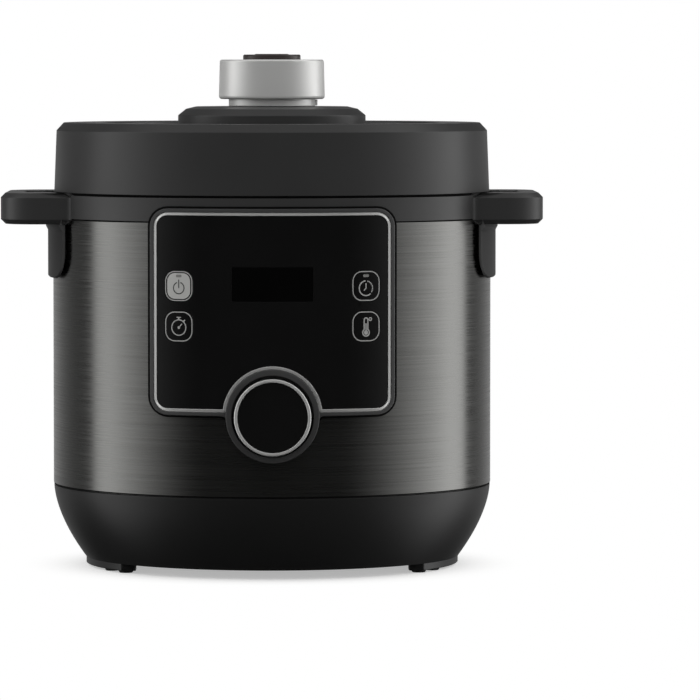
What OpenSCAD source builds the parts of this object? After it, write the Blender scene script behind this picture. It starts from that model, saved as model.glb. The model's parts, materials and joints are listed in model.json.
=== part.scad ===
// Electric pressure cooker: a steel-skinned housing with a curved control panel,
// a lift-out bowl, and a lid that a central knob locks with a turning bell.
// Millimetres, +Z up, front facing -Y. The origin is on the table under the body's axis.

/* [Body] */
// Outer radius of the steel shell
shell_r = 140; // [136:1:146]
// Wall of the steel shell
shell_t = 0.8; // [0.5:0.1:1.5]
// Height of the seam between the base and the steel shell
seam_z = 52.5; // [50:0.5:56]
// Height of the steel shell
shell_h = 169.5; // [166:0.5:180]
// Height of the rim ring's outer face
rim_h = 15.5; // [14:0.5:18]
// How far the base tapers in from its top edge to its lower edge
base_taper = 20; // [14:0.5:21]
// Wall of the base shell
base_wall = 2.5; // [2:0.1:3.5]
// Height of the base shell's lower edge above the table
base_z = 6; // [5:0.5:8]
// Radius of the cover that closes the base from below
cover_r = 104; // [98:1:105]
// Thickness of the bottom cover
cover_t = 2; // [1.5:0.1:3]
// Number of vent slots in the bottom cover
vent_count = 18; // [8:1:24]
// Length of a vent slot
vent_l = 36; // [20:1:40]
// Width of a vent slot
vent_w = 4; // [2:0.5:5]
// Diameter of a rubber foot pad
pad_d = 9; // [6:0.5:9]

/* [Handles] */
// Reach of a handle's outer end from the body's axis
handle_reach = 172; // [168:0.2:180]
// Width of a handle along the body's side
handle_w = 114; // [100:1:120]
// Thickness of a handle
handle_h = 19.7; // [18:0.1:22]
// Corner radius of a handle seen from above
handle_corner_r = 24; // [8:1:24]
// Width of the edge chamfers of a handle
handle_chamfer = 2.9; // [1.5:0.1:3.5]
// Wall of a handle
handle_wall = 5; // [4:0.5:6]
// Length of the slot through a handle
slot_l = 42; // [30:1:60]
// Width of the slot through a handle
slot_w = 11; // [8:0.5:12]
// Thickness of the shield under a handle
shield_t = 3.1; // [2.5:0.1:5]
// Lowest edge of the shield, below the handle's underside
shield_drop = 34.5; // [25:0.5:50]
// How much narrower the shield is than the handle, on each side
shield_inset = 0; // [0:0.5:10]
// Corner radius of the shield
shield_corner_r = 22; // [12:1:30]

/* [Panel] */
// Width of the panel frame
panel_w = 153.4; // [150:0.2:160]
// Distance of the panel frame's lower edge above the seam
panel_rise = 50; // [46:0.5:56]
// Distance of the panel frame's top below the rim ring's top
panel_drop = 5.4; // [3:0.1:9]
// Corner radius of the panel frame
panel_corner_r = 12; // [9:0.5:16]
// Width of the frame's border outside the trim line
panel_border = 3.2; // [2.5:0.1:4]
// Width of the bright trim line
trim_w = 2; // [1.4:0.1:2.6]
// Thickness of the glossy fascia
fascia_t = 2; // [1.5:0.1:3]
// Width of a key
key_w = 17.2; // [14:0.2:18]
// Height of a key
key_h = 18.8; // [16:0.2:20]
// Corner radius of a key
key_corner_r = 6.6; // [4:0.2:8]
// Distance of a key's centre from the panel frame's side
key_inset = 18.9; // [17:0.1:22]
// Distance of the upper pair of keys below the panel frame's top
key_drop = 48.7; // [44:0.1:54]
// Distance between the upper and the lower pair of keys
key_pitch = 25; // [22:0.2:30]
// Travel of a key
key_travel = 0.8; // [0.4:0.1:1]
// Width of the display window
display_w = 50.6; // [40:0.2:56]
// Height of the display window
display_h = 21; // [16:0.2:26]
// Distance of the display's centre below the panel frame's top
display_drop = 47.4; // [40:0.1:56]

/* [Dial] */
// Height of the dial's axis above the panel frame's lower edge
dial_rise = 1; // [0:0.1:3]
// Outer radius of the dial
dial_r = 23.7; // [20:0.1:24.5]
// Width of the bright ring round the dial's black face
dial_ring_w = 2.8; // [2:0.1:5]
// Distance of the dial's front from the body's axis
dial_front = 158.5; // [156:0.5:162]
// Outer radius of the collar round the dial
collar_r = 28.9; // [27:0.1:30]
// Width of the dark gap between the dial and the collar
dial_gap = 1.4; // [0.8:0.1:2]
// Distance of the collar's front from the body's axis
collar_front = 147; // [145.5:0.5:149]
// Travel of the dial when it is pressed
dial_travel = 1; // [0.5:0.1:1.2]

/* [Lid] */
// Gap between the rim ring and the closed lid
lid_gap = 0.8; // [0.6:0.1:2]
// How far the lid's lower edge lies inside the rim ring's outer face
lid_inset = 0.4; // [0:0.1:1.5]
// How far the lid's side leans in over its height
lid_draft = 1.5; // [0.5:0.1:2.5]
// Height of the lid's side
lid_side_h = 39.7; // [38:0.1:44]
// Height of the lid's edge chamfer
lid_chamfer_h = 5; // [3:0.5:6]
// Width of the lid's edge chamfer
lid_chamfer_w = 4.6; // [3:0.2:6]
// Width of the raised rim on top of the lid
lid_rim_w = 26; // [18:1:34]
// Depth of the recess in the top of the lid
lid_recess = 3.5; // [2:0.5:5]
// Wall of the lid shell
lid_wall = 2.5; // [2:0.1:3]
// Radius of the plinth under the knob
plinth_r = 60; // [56:0.5:66]
// Height of the plinth's upright side above the lid's recess
plinth_side_h = 8.1; // [6:0.1:10]
// Height of the plinth's edge chamfer
plinth_chamfer_h = 4.1; // [3:0.1:6]
// Width of the plinth's edge chamfer
plinth_chamfer_w = 5.1; // [3:0.1:7]
// Rise of the plinth's gently sloping top
plinth_rise = 1.5; // [0.5:0.1:3]
// Width of the plinth's gently sloping top
plinth_slope_w = 6.4; // [4:0.1:8]

/* [Knob] */
// Radius of the knob's neck
neck_r = 27.6; // [25:0.1:30]
// Height of the neck between the plinth and the knob
neck_h = 4.7; // [3.5:0.1:7]
// Radius of the knob at its lower edge
knob_r = 33.9; // [32:0.1:38]
// Height of the knob
knob_h = 25.2; // [22:0.1:30]
// Radius of the release button on top of the knob
button_r = 18.4; // [15:0.1:20]
// Travel of the release button
button_travel = 3; // [2:0.1:4]
// How far the release button still stands above the knob when it is pressed
button_proud = 0.6; // [0.3:0.1:2]
// Number of locking lugs
lug_count = 6; // [4:1:7]
// Angle that one locking lug covers, in degrees
lug_angle = 22; // [16:1:24]

/* [Bowl] */
// Outer radius of the cooking bowl's straight wall
bowl_r = 110; // [106:0.5:111]
// Height of the bowl from its base to its rim
bowl_h = 164; // [160:0.5:170]
// Height of the bowl's rounded lower part
bowl_round_h = 82; // [60:1:100]
// Radius of the bowl's flat base
bowl_flat_r = 58; // [50:1:70]
// Wall of the bowl
bowl_wall = 2; // [1.5:0.1:3]
// Width of the bowl's rim, outside its wall
bowl_rim_w = 7; // [5:0.5:8]

/* [Condensate cup] */
// Outer width of the cup
cup_w = 46; // [40:1:52]
// Height of the cup
cup_h = 50; // [40:1:60]
// Distance of the cup's back face from the body's axis
cup_back = 158.5; // [156:0.5:164]
// Wall of the cup
cup_wall = 1.6; // [1.2:0.1:2.4]

/* [Hidden] */
$fn = 96;

// Clearance between pieces that move past each other
play = 0.3;
// Clearance between round pieces that nest in one body
nest = 0.2;
// Overlap that makes a cutting tool pass its face
over = 1;
// A height above everything, for cutting tools
tall = 400;

// Body heights and radii
rim_z = seam_z + shell_h;
rim_top = rim_z + rim_h;
rim_inset = 0.4;
rim_r = shell_r - rim_inset;
rim_edge = 1;
spigot_t = 2.5;
spigot_h = 8;
shell_in_r = shell_r - shell_t;
spigot_r = shell_in_r - nest;
base_inset = 0.3;
base_top_r = shell_r - base_inset;
base_curve = 1.7;
base_steps = 12;
base_floor = 4.6;
ledge_w = 6;
foot_gap = 1.5;
foot_margin = 2;
foot_in_r = cover_r + foot_margin;
foot_edge = 0.3;
foot_out_r = base_top_r - base_taper - foot_edge;
foot_from = 46;
foot_to = 86;
pad_angles = [55, 64];
pad_ring_r = (foot_in_r + foot_out_r) / 2;
pad_h = 2.5;
foot_side_gap = 2;
foot_front_gap = 2.9;
foot_side_x = pad_ring_r * sin(pad_angles[0]) - pad_d / 2 - foot_side_gap;
foot_front_y = pad_ring_r * cos(pad_angles[0]) + pad_d / 2 + foot_front_gap;
cover_screw_r = cover_r - ledge_w / 2;
cover_boss_r = 4;
cover_boss_h = 14;
cover_screw_l = 11;
vent_edge = 20;
vent_out_r = cover_r - vent_edge;
board_post_r = 3;
board_post_h = 12;
board_z = base_z + cover_t + board_post_h;
board_l = 124;
board_w = 80;
board_post_xy = 30;
filter_l = 20;
filter_w = 20;
filter_h = 15;
filter_x = -46;
filter_y = -22;
transformer_l = 30;
transformer_w = 26;
transformer_h = 16;
transformer_x = -11;
transformer_y = -21;
relay_l = 36;
relay_w = 20;
relay_h = 10;
relay_x = 32;
relay_y = 24;
capacitor_r = 6;
capacitor_h = 14;
capacitor_x = 24;
capacitor_y = -20;
capacitor_pitch = 18;
varistor_r = 7;
varistor_h = 9;
varistor_x = -30;
varistor_y = 20;
stub_r = 3.6;
stub_x = 45;
stub_y = -46;
stub_gap = 0.4;
screw_r = 1.5;
screw_head_r = 3;
screw_head_h = 1.6;

// Lock geometry round the mouth of the housing
pot_gap = 4.6;
pot_wall_in_r = bowl_r + pot_gap;
pot_wall_t = 1.2;
well_gap = 0.4;
well_r = pot_wall_in_r + pot_wall_t + well_gap;
well_t = 3.3;
channel_ri = well_r + well_t;
channel_depth = 5.5;
channel_z = rim_top - channel_depth;
channel_t = 3;
flange_rise = 2.5;
flange_z = rim_top + flange_rise;
flange_t = 3;
flange_gap = 2;
flange_in_r = bowl_r + flange_gap;
lug_reach = 6;
lug_out_r = channel_ri + lug_reach;
hook_gap = 0.8;
hook_t = 3.6;
bell_t = 2.5;
bell_gap = 1;
bell_in_r = lug_out_r + bell_gap;
bell_r = bell_in_r + bell_t;
channel_gap = 3.5;
channel_ro = bell_r + channel_gap;
lock_turn = 180 / lug_count;
hook_angle = lug_angle - 2;

// Lid heights, from the rim up
lid_r = rim_r - lid_inset;
lid_z0 = rim_top + lid_gap;
lid_z1 = lid_z0 + lid_side_h;
lid_top = lid_z1 + lid_chamfer_h;
lid_floor = lid_top - lid_recess;
lid_under = lid_floor - lid_wall;
lid_rim_out = lid_r - lid_draft - lid_chamfer_w;
lid_rim_in = lid_rim_out - lid_rim_w;
lid_lean = lid_draft / (lid_side_h - 1);
skirt_t = 2;
skirt_h = 6;
plinth_side_z = lid_floor + plinth_side_h;
plinth_edge_z = plinth_side_z + plinth_chamfer_h;
plinth_top = plinth_edge_z + plinth_rise;
plinth_wall = 2.5;
plinth_land = 4;
plinth_hole_r = plinth_r - plinth_land;
neck_z = plinth_top + play;
knob_z = plinth_top + neck_h;
knob_top = knob_z + knob_h;
knob_lean = 0.6;
pointer_l = 1.6;
pointer_w = 3.2;
knob_floor = 3;
button_top = knob_top + button_travel + button_proud;
button_skirt = 8;
button_edge = 0.4;
button_rim_w = 8;
button_mid_r = button_r - button_rim_w;
button_seat_depth = 3;
button_seat_z = knob_top - button_seat_depth;

// Bowl, seated on the lock flange
bowl_rim_r = bowl_r + bowl_rim_w;
pot_rim_z = flange_z + flange_t + play;
pot_rim_t = 1.5;
pot_rim_top = pot_rim_z + pot_rim_t;
pot_base_z = pot_rim_top - bowl_h;

// Pressure lid under the outer lid
gasket_z = pot_rim_top + play;
gasket_h = 3.7;
gasket_lap = 3;
gasket_in_r = bowl_r - gasket_lap;
inner_lid_z = gasket_z + gasket_h;
inner_lid_t = 1.2;
plate_z = inner_lid_z + inner_lid_t;
plate_t = 2.5;
plate_edge = 1.5;
plate_r = bowl_rim_r + plate_edge;
plate_top = plate_z + plate_t;
bell_drop = 9;
bell_z = plate_top + bell_drop;
bell_top = bell_z + bell_t;
hook_z = flange_z - hook_gap - hook_t;
post_ring_r = 80;
post_r = 5;
post_angles = [30, 150, 270];
post_screw_l = 11;
slot_spare = 5;
spindle_r = 12;
spindle_in_r = 8.5;
spindle_step = 2;
spindle_z = plate_top + play;
spring_seat_drop = 12;
spring_seat_z = knob_z - spring_seat_drop;
stem_r = 2.5;
seat_r = 8;
seat_t = 2.5;
seat_bore_r = stem_r + play;
poppet_r = 6;
poppet_t = 2.7;
poppet_z = inner_lid_z - seat_t - play;
nut_r = 15;
nut_h = 7;
nut_wall = 4;
nut_floor = 2;
nut_hole_r = 1.4;
float_r = 2.4;
float_x = -32;
float_y = 30;
float_rise = 4;
float_collar_r = 4.6;
float_collar_t = 2;
float_slot_w = 10;
float_sunk = 0.6;
float_top = plinth_top - float_sunk;

// Bowl seat in the bottom of the housing
plate_face_z = pot_base_z - play;
heater_h = 18.5;
vessel_floor_z = plate_face_z - heater_h;
heater_edge = 3;
heater_r = bowl_flat_r + heater_edge;
heater_flange_r = 88;
heater_hole_r = 78;
bracket_drop = 4;
bracket_z = vessel_floor_z - bracket_drop;
bracket_t = 1.5;
bracket_w = 22;
bracket_margin = 7;
bracket_screw_x = heater_flange_r + bracket_margin;
bracket_reach = bracket_screw_x + bracket_margin;
terminal_x = 40;
terminal_y = 30;
terminal_r = 2.2;
pressure_x = 55;
pressure_l = 18;
pressure_w = 12;
pressure_h = 10;
fuse_x = -53;
fuse_l = 22;
fuse_w = 8;
fuse_h = 6;
sensor_r = 11;
sensor_wall = 1.5;
sensor_h = 12;
sensor_lip = 2;
sensor_lip_drop = 7;
sensor_lip_z = plate_face_z - sensor_lip_drop;

// Panel radii: the steel, the backing, the fascia and the trim each lie on the one before
back_gap = 0.2;
back_r = shell_r + back_gap;
back_t = 0.9;
fascia_in_r = back_r + back_t;
fascia_r = fascia_in_r + fascia_t;
trim_proud = 0.6;
trim_out_r = fascia_r + trim_proud;
frame_proud = 1;
frame_r = fascia_r + frame_proud;
panel_z0 = seam_z + panel_rise;
panel_z1 = rim_top - panel_drop;
panel_h = panel_z1 - panel_z0;
key_x = panel_w / 2 - key_inset;
key_upper_z = panel_z1 - key_drop;
key_lower_z = key_upper_z - key_pitch;
display_z = panel_z1 - display_drop;
dial_z = panel_z0 + dial_rise;
trim_gap = 0.1;
board_t = 1.6;
board_gap = 1.6;
board_y = pot_wall_in_r + pot_wall_t + board_gap;
board_front = board_y + board_t;
switch_h = 3.6;
window_side = 9;
window_low = 22;
window_high = 18;
board_margin = 6;
board_below = 12;
switch_w = 6;
key_stem_w = 6;
module_margin = 3;
module_gap = 12;
boss_r = 3.5;
boss_gap = 6.2;
boss_x = display_w / 2 + module_margin + boss_gap + boss_r;
boss_below = 14;
boss_above = 8;
boss_low_z = key_lower_z - boss_below;
boss_high_z = key_upper_z + boss_above;
boss_screw_l = 8;
dial_face_r = dial_r - dial_ring_w;
collar_in_r = dial_r + dial_gap;
arc_r = collar_r + trim_w;
dial_ring_t = 3;
dial_face_t = 4;
dial_wall = 2;
dial_hub_r = 9;
shaft_r = 3;
encoder_h = 6.5;
encoder_w = 13;

// Handles
handle_rise = 1.4;
handle_z1 = rim_top + handle_rise;
handle_z0 = handle_z1 - handle_h;
slot_inset = 14.3;
slot_x1 = handle_reach - slot_inset;
slot_x0 = slot_x1 - slot_w;
handle_cover_t = 3;
handle_top_t = 4;
slot_wall = 2;
handle_boss_r = 4;
handle_screw_inset = 10.5;
handle_screw_x = handle_reach - handle_screw_inset;
handle_screw_side = 20;
handle_screw_y = handle_w / 2 - handle_screw_side;
handle_screw_l = 11;
shield_w = handle_w - 2 * shield_inset;
shield_screw_y = 24;
shield_screw_drop = 16;
shield_screw_in = 3;
shield_skin = 1;
handle_root = 30;
shield_hole_l = shield_screw_in + shell_t + shield_t - shield_skin;

// Power inlet in a pocket at the back of the base
inlet_w = 24;
inlet_h = 16.5;
inlet_wall = 1.6;
inlet_depth = 15;
inlet_z = 30;
pocket_back = 3;
pocket_y = base_top_r - base_taper + pocket_back;
pocket_w = 44;
pocket_h = 28;
pocket_wall = 2.5;
inlet_rear = 6;
earth_rise = 2.5;
blade_drop = 1.5;
blade_t = 2;
blade_w = 4;
blade_x = 7;
bezel_t = 2;
bezel_w = 3;

// Condensate cup and its bracket
cup_rim_t = 2.2;
cup_lip = 3.6;
cup_face_t = 4;
bracket_root = 14;
cup_drop = 18;
cup_top = rim_z - cup_drop;
cup_gap = 3;
cup_front = shell_r + cup_gap;
rail_t = 2.4;
rail_clear = 0.4;
bracket_plate_t = 2.4;
bracket_flange_t = 1.2;
bracket_plate_z = cup_top + rail_clear;
spout_reach = 7;
spout_y = shell_r + spout_reach;
spout_r = 3;
spout_wall = 2;
spout_out_r = spout_r + spout_wall;
spout_h = 7;

// ---------------------------------------------------------------- helpers

module ring(r_in, r_out, z0, z1) {
  translate([0, 0, z0])
    difference() {
      cylinder(r = r_out, h = z1 - z0);
      translate([0, 0, -over]) cylinder(r = r_in, h = z1 - z0 + 2 * over);
    }
}

module disc(r, z0, z1) {
  translate([0, 0, z0]) cylinder(r = r, h = z1 - z0);
}

module block(x0, x1, y0, y1, z0, z1) {
  translate([x0, y0, z0]) cube([x1 - x0, y1 - y0, z1 - z0]);
}

// A flat rectangle with round corners, from corner to corner
module round_rect(x0, x1, y0, y1, r) {
  translate([x0 + r, y0]) square([x1 - x0 - 2 * r, y1 - y0]);
  translate([x0, y0 + r]) square([x1 - x0, y1 - y0 - 2 * r]);
  for (x = [x0 + r, x1 - r], y = [y0 + r, y1 - r])
    translate([x, y]) circle(r = r);
}

// Extrudes a front view, drawn as x and z, between two distances in front of the axis
module facing_front(near, far) {
  translate([0, -near, 0])
    rotate([90, 0, 0])
      linear_extrude(far - near) children();
}

// Wraps a front view round the body as a curved plate between two radii
module wrapped(r_in, r_out) {
  intersection() {
    ring(r_in, r_out, 0, tall);
    facing_front(shell_r / 2, shell_r + 40) children();
  }
}

// Extrudes a side view, drawn as y and z, along x
module facing_side(x0, x1) {
  translate([x0, 0, 0])
    rotate([90, 0, 90])
      linear_extrude(x1 - x0) children();
}

// Turns a piece made along +Z so that it points forward from the dial's axis
module on_dial_axis() {
  translate([0, 0, dial_z]) rotate([90, 0, 0]) children();
}

module at_polar(r, angle) {
  rotate([0, 0, angle]) translate([r, 0, 0]) children();
}

// A part of a ring between two angles
module sector(r_in, r_out, z0, z1, a0, a1) {
  rotate([0, 0, a0])
    rotate_extrude(angle = a1 - a0)
      translate([r_in, z0]) square([r_out - r_in, z1 - z0]);
}

module screw(z_head, z_tip, head_up) {
  head_z = head_up ? z_head : z_head - screw_head_h;
  disc(screw_r - 0.1, min(z_head, z_tip), max(z_head, z_tip));
  disc(screw_head_r, head_z, head_z + screw_head_h);
}

// ---------------------------------------------------------------- base

function base_outer_r(z) =
  base_top_r - base_taper * pow((seam_z - z) / (seam_z - base_z), base_curve);

function base_outline(inset, z0) = [
  for (i = [0 : base_steps])
    let (z = z0 + (seam_z - z0) * i / base_steps)
      [base_outer_r(z) - inset, z]
];

module base_body(inset, z0) {
  rotate_extrude()
    polygon(concat([[0, z0]], base_outline(inset, z0), [[0, seam_z]]));
}

module at_pads() {
  for (side = [-1, 1], end = [-1, 1], a = pad_angles)
    rotate([0, 0, end * (90 - side * a)])
      translate([pad_ring_r, 0, 0]) children();
}

module at_foot_blocks() {
  for (side = [-1, 1], end = [-1, 1]) {
    middle = end * (90 - side * (foot_from + foot_to) / 2);
    rotate([0, 0, middle - (foot_to - foot_from) / 2]) children();
  }
}

// Pieces of a ring that end in planes along the sides and across the front and back
module foot_blocks() {
  intersection() {
    at_foot_blocks()
      rotate_extrude(angle = foot_to - foot_from)
        translate([foot_in_r, foot_gap])
          square([foot_out_r - foot_in_r, base_z + 2 - foot_gap]);
    for (side = [-1, 1])
      block(side > 0 ? foot_side_x : -tall, side > 0 ? tall : -foot_side_x,
            -foot_front_y, foot_front_y, 0, tall);
  }
}

module at_cover_screws() {
  for (a = [45, 135, 225, 315])
    at_polar(cover_screw_r, a) children();
}

module base_shell() {
  color("#1d1e1f")
    difference() {
      union() {
        difference() {
          base_body(0, base_z);
          base_body(base_wall, base_z + base_floor);
        }
        ring(spigot_r - spigot_t, spigot_r, seam_z - spigot_h / 2, seam_z + spigot_h);
        foot_blocks();
        at_cover_screws() disc(cover_boss_r, base_z + base_floor - 1, base_z + cover_boss_h);
        intersection() {
          base_body(0, base_z);
          block(-pocket_w / 2 - pocket_wall, pocket_w / 2 + pocket_wall,
                pocket_y - pocket_wall, tall,
                inlet_z - pocket_h / 2 - pocket_wall, inlet_z + pocket_h / 2 + pocket_wall);
        }
      }
      disc(cover_r + nest, -over, base_z + cover_t + 0.1);
      disc(cover_r - ledge_w, 0, base_z + base_floor + over);
      at_cover_screws() disc(screw_r, 0, base_z + cover_screw_l + 1);
      at_pads() disc(pad_d / 2 + 0.1, 0, pad_h);
      block(-pocket_w / 2, pocket_w / 2, pocket_y, tall,
            inlet_z - pocket_h / 2, inlet_z + pocket_h / 2);
      inlet_block(inlet_wall + trim_gap, pocket_y - pocket_wall - over, pocket_y + over);
    }
}

module bottom_cover() {
  color("#151617") {
    difference() {
      disc(cover_r, base_z, base_z + cover_t);
      at_cover_screws() disc(screw_r, 0, base_z + over + cover_t);
      for (i = [0 : vent_count - 1])
        rotate([0, 0, 360 * (i + 0.5) / vent_count])
          block(vent_out_r - vent_l, vent_out_r, -vent_w / 2, vent_w / 2, 0, base_z + cover_t + over);
    }
    for (x = [-1, 1], y = [-1, 1])
      translate([x * board_post_xy, y * board_post_xy, 0])
        disc(board_post_r, base_z + cover_t / 2, board_z);
    for (x = [-1, 1])
      translate([x * stub_x, stub_y, 0]) disc(stub_r, stub_gap, base_z + cover_t / 2);
  }
}

module foot_pads() {
  color("#2a2a2b") at_pads() disc(pad_d / 2, 0, pad_h);
}

module bottom_screws() {
  color("silver")
    at_cover_screws() screw(base_z, base_z + cover_screw_l, false);
}

// ---------------------------------------------------------------- housing

module outer_shell() {
  color("#6d6e6f")
    difference() {
      ring(shell_in_r, shell_r, seam_z, rim_z);
      facing_front(shell_r / 2, shell_r + 40) panel_window();
      for (side = [-1, 1], y = [-1, 1])
        shield_screw_place(side, y) disc(screw_r + 0.1, -over, 20);
    }
}

// The opening in the steel behind the panel
module panel_window() {
  translate([-panel_w / 2 + window_side, panel_z0 + window_low])
    square([panel_w - 2 * window_side, panel_h - window_low - window_high]);
  dial_disc(dial_r - 2);
}

// Places a child along the local x axis, through the shell into a handle's shield
module shield_screw_place(side, y) {
  angle = asin(y * shield_screw_y / shell_r);
  rotate([0, 0, side > 0 ? angle : 180 - angle])
    translate([shell_in_r - shield_screw_in, 0, handle_z0 - shield_screw_drop])
      rotate([0, 90, 0]) children();
}

module rim_profile() {
  rotate_extrude()
    polygon([
      [rim_r, rim_z], [rim_r, rim_top - rim_edge], [rim_r - rim_edge, rim_top],
      [channel_ro, rim_top], [channel_ro, channel_z],
      [channel_ri, channel_z], [channel_ri, flange_z],
      [well_r, flange_z], [well_r, channel_z - channel_t],
      [spigot_r - spigot_t, channel_z - channel_t], [spigot_r - spigot_t, rim_z - spigot_h],
      [spigot_r, rim_z - spigot_h], [spigot_r, rim_z]
    ]);
}

// A right-hand handle's outline from above
module handle_plan(inset) {
  round_rect(shell_r - handle_root, handle_reach - inset, -handle_w / 2 + inset, handle_w / 2 - inset,
             handle_corner_r - inset);
}

module slot_plan(grow) {
  translate([slot_x0 - grow, -slot_l / 2 - grow])
    square([slot_w + 2 * grow, slot_l + 2 * grow]);
}

module handle_block() {
  c = handle_chamfer;
  w = handle_w / 2;
  intersection() {
    translate([0, 0, handle_z0]) linear_extrude(handle_h) handle_plan(0);
    facing_front(-w, w)
      polygon([
        [0, handle_z0], [handle_reach - c, handle_z0], [handle_reach, handle_z0 + c],
        [handle_reach, handle_z1 - c], [handle_reach - c, handle_z1], [0, handle_z1]
      ]);
    facing_side(0, handle_reach)
      polygon([
        [-w + c, handle_z0], [w - c, handle_z0], [w, handle_z0 + c],
        [w, handle_z1 - c], [w - c, handle_z1], [-w + c, handle_z1],
        [-w, handle_z1 - c], [-w, handle_z0 + c]
      ]);
  }
}

module handle_upper() {
  pocket_top = handle_z1 - handle_top_t;
  difference() {
    union() {
      difference() {
        handle_block();
        difference() {
          translate([0, 0, handle_z0 - over])
            linear_extrude(pocket_top - handle_z0 + over) handle_plan(handle_wall);
          // the root stays clear of the closing plate below it
          disc(shell_r + handle_wall - 2, max(rim_z, handle_z0 + handle_cover_t), tall);
        }
      }
      intersection() {
        translate([0, 0, handle_z0 + handle_cover_t])
          linear_extrude(pocket_top - handle_z0) slot_plan(slot_wall);
        disc(handle_reach - 2, 0, handle_z1 - 0.1);
      }
      for (y = [-1, 1])
        translate([handle_screw_x, y * handle_screw_y, 0])
          disc(handle_boss_r, handle_z0 + handle_cover_t, handle_z1 - 1);
    }
    translate([0, 0, handle_z0 - over]) linear_extrude(handle_h + 2 * over) slot_plan(0);
    for (y = [-1, 1])
      translate([handle_screw_x, y * handle_screw_y, 0])
        disc(screw_r, handle_z0, handle_z0 + handle_screw_l + 1);
    disc(shell_r + nest, 0, rim_z);
    disc(rim_r - 2, 0, tall);
    // room for the lid's lower edge above the handle's root
    disc(lid_r + 2 * play, rim_top - trim_gap, tall);
  }
}

module drain_spout() {
  difference() {
    union() {
      block(-spout_out_r, spout_out_r, rim_r - 2, spout_y + spout_out_r, channel_z - spout_h, channel_z + 1);
      translate([0, spout_y, 0])
        disc(spout_out_r, bracket_plate_z + bracket_plate_t, channel_z - spout_h + 1);
    }
    translate([0, spout_y, 0]) disc(spout_r, 0, channel_z - 1);
    block(-spout_r, spout_r, channel_ro - 2, spout_y, channel_z - 1, channel_z);
  }
}

module rim_ring() {
  color("#232425")
    difference() {
      union() {
        rim_profile();
        handle_upper();
        mirror([1, 0, 0]) handle_upper();
        drain_spout();
      }
      block(-spout_r, spout_r, channel_ro - over, spout_y, channel_z - 1, channel_z + over);
    }
}

module shield_plan() {
  round_rect(-shield_w / 2, shield_w / 2, handle_z0 - shield_drop, handle_z0 + shield_corner_r * 2,
             shield_corner_r);
}

module handle_lower() {
  difference() {
    union() {
      intersection() {
        ring(back_r, back_r + shield_t, 0, handle_z0);
        facing_side(shell_r / 2, handle_reach) shield_plan();
      }
      difference() {
        translate([0, 0, handle_z0]) linear_extrude(handle_cover_t - 0.1) handle_plan(handle_wall + nest);
        disc(back_r, 0, tall);
      }
    }
    translate([0, 0, handle_z0 - over])
      linear_extrude(handle_cover_t + 2 * over) slot_plan(0);
    for (y = [-1, 1])
      translate([handle_screw_x, y * handle_screw_y, 0]) {
        disc(screw_r + 0.1, 0, tall);
        disc(screw_head_r + 0.2, 0, handle_z0 + screw_head_h);
      }
    for (y = [-1, 1])
      shield_screw_place(1, y) disc(screw_r, 0, shield_hole_l);
  }
}

module handle_lower_right() {
  color("#1a1b1c") handle_lower();
}

module handle_lower_left() {
  color("#1a1b1c") mirror([1, 0, 0]) handle_lower();
}

module handle_screws() {
  color("silver") {
    for (x = [-1, 1], y = [-1, 1])
      translate([x * handle_screw_x, y * handle_screw_y, 0])
        screw(handle_z0 + screw_head_h, handle_z0 + handle_screw_l, false);
    for (side = [-1, 1], y = [-1, 1])
      shield_screw_place(side, y) screw(shield_screw_in - trim_gap, shield_hole_l - 0.5, false);
  }
}

// ---------------------------------------------------------------- panel

module panel_outline(inset) {
  round_rect(-panel_w / 2 + inset, panel_w / 2 - inset, panel_z0 + inset, panel_z1 - inset,
             panel_corner_r - inset);
}

module dial_disc(r) {
  translate([0, dial_z]) circle(r = r);
}

module fascia_outline(grow) {
  difference() {
    panel_outline(panel_border + trim_w - grow);
    dial_disc(arc_r - grow);
  }
}

module trim_outline(grow) {
  difference() {
    panel_outline(panel_border - grow);
    dial_disc(collar_r);
  }
}

module keys_outline(grow) {
  for (x = [-key_x, key_x], z = [key_lower_z, key_upper_z])
    round_rect(x - key_w / 2 - grow, x + key_w / 2 + grow,
               z - key_h / 2 - grow, z + key_h / 2 + grow, key_corner_r + grow);
}

module display_outline(grow) {
  translate([-display_w / 2 - grow, display_z - display_h / 2 - grow])
    square([display_w + 2 * grow, display_h + 2 * grow]);
}

module panel_frame() {
  color("#2b2c2d") {
    difference() {
      union() {
        wrapped(back_r, frame_r) difference() {
          panel_outline(0);
          trim_outline(trim_gap);
        }
        wrapped(back_r, fascia_in_r) difference() {
          panel_outline(0);
          keys_outline(1);
          display_outline(1);
        }
        on_dial_axis() disc(collar_r, shell_r / 2, collar_front);
      }
      disc(back_r, 0, tall);
      difference() {
        on_dial_axis() disc(collar_in_r, shell_r / 2, tall);
        disc(fascia_in_r, 0, tall);
      }
      on_dial_axis() disc(shaft_r + 4, shell_r / 2, tall);
    }
    // bosses that carry the control board
    difference() {
      intersection() {
        at_board_bosses(board_front, back_r + back_t) circle(r = boss_r);
        disc(back_r + back_t / 2, 0, tall);
      }
      at_board_bosses(0, board_front + boss_screw_l + 1) circle(r = screw_r);
    }
  }
}

module at_board_bosses(near, far) {
  facing_front(near, far)
    for (x = [-boss_x, boss_x], z = [boss_low_z, boss_high_z])
      translate([x, z]) children();
}

module board_screws() {
  color("silver") {
    at_board_bosses(board_y - screw_head_h, board_y) circle(r = screw_head_r);
    at_board_bosses(board_y - screw_head_h, board_front + boss_screw_l) circle(r = screw_r - 0.1);
  }
}

module panel_trim() {
  color("#c9cacb")
    wrapped(fascia_in_r, trim_out_r) difference() {
      trim_outline(0);
      fascia_outline(trim_gap);
      dial_disc(collar_r + trim_gap);
    }
}

module panel_fascia() {
  color("#08090a")
    wrapped(fascia_in_r, fascia_r) difference() {
      fascia_outline(0);
      keys_outline(play);
      display_outline(trim_gap);
    }
}

module display_window() {
  color("#020203") wrapped(fascia_in_r, fascia_r) display_outline(0);
}

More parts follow.
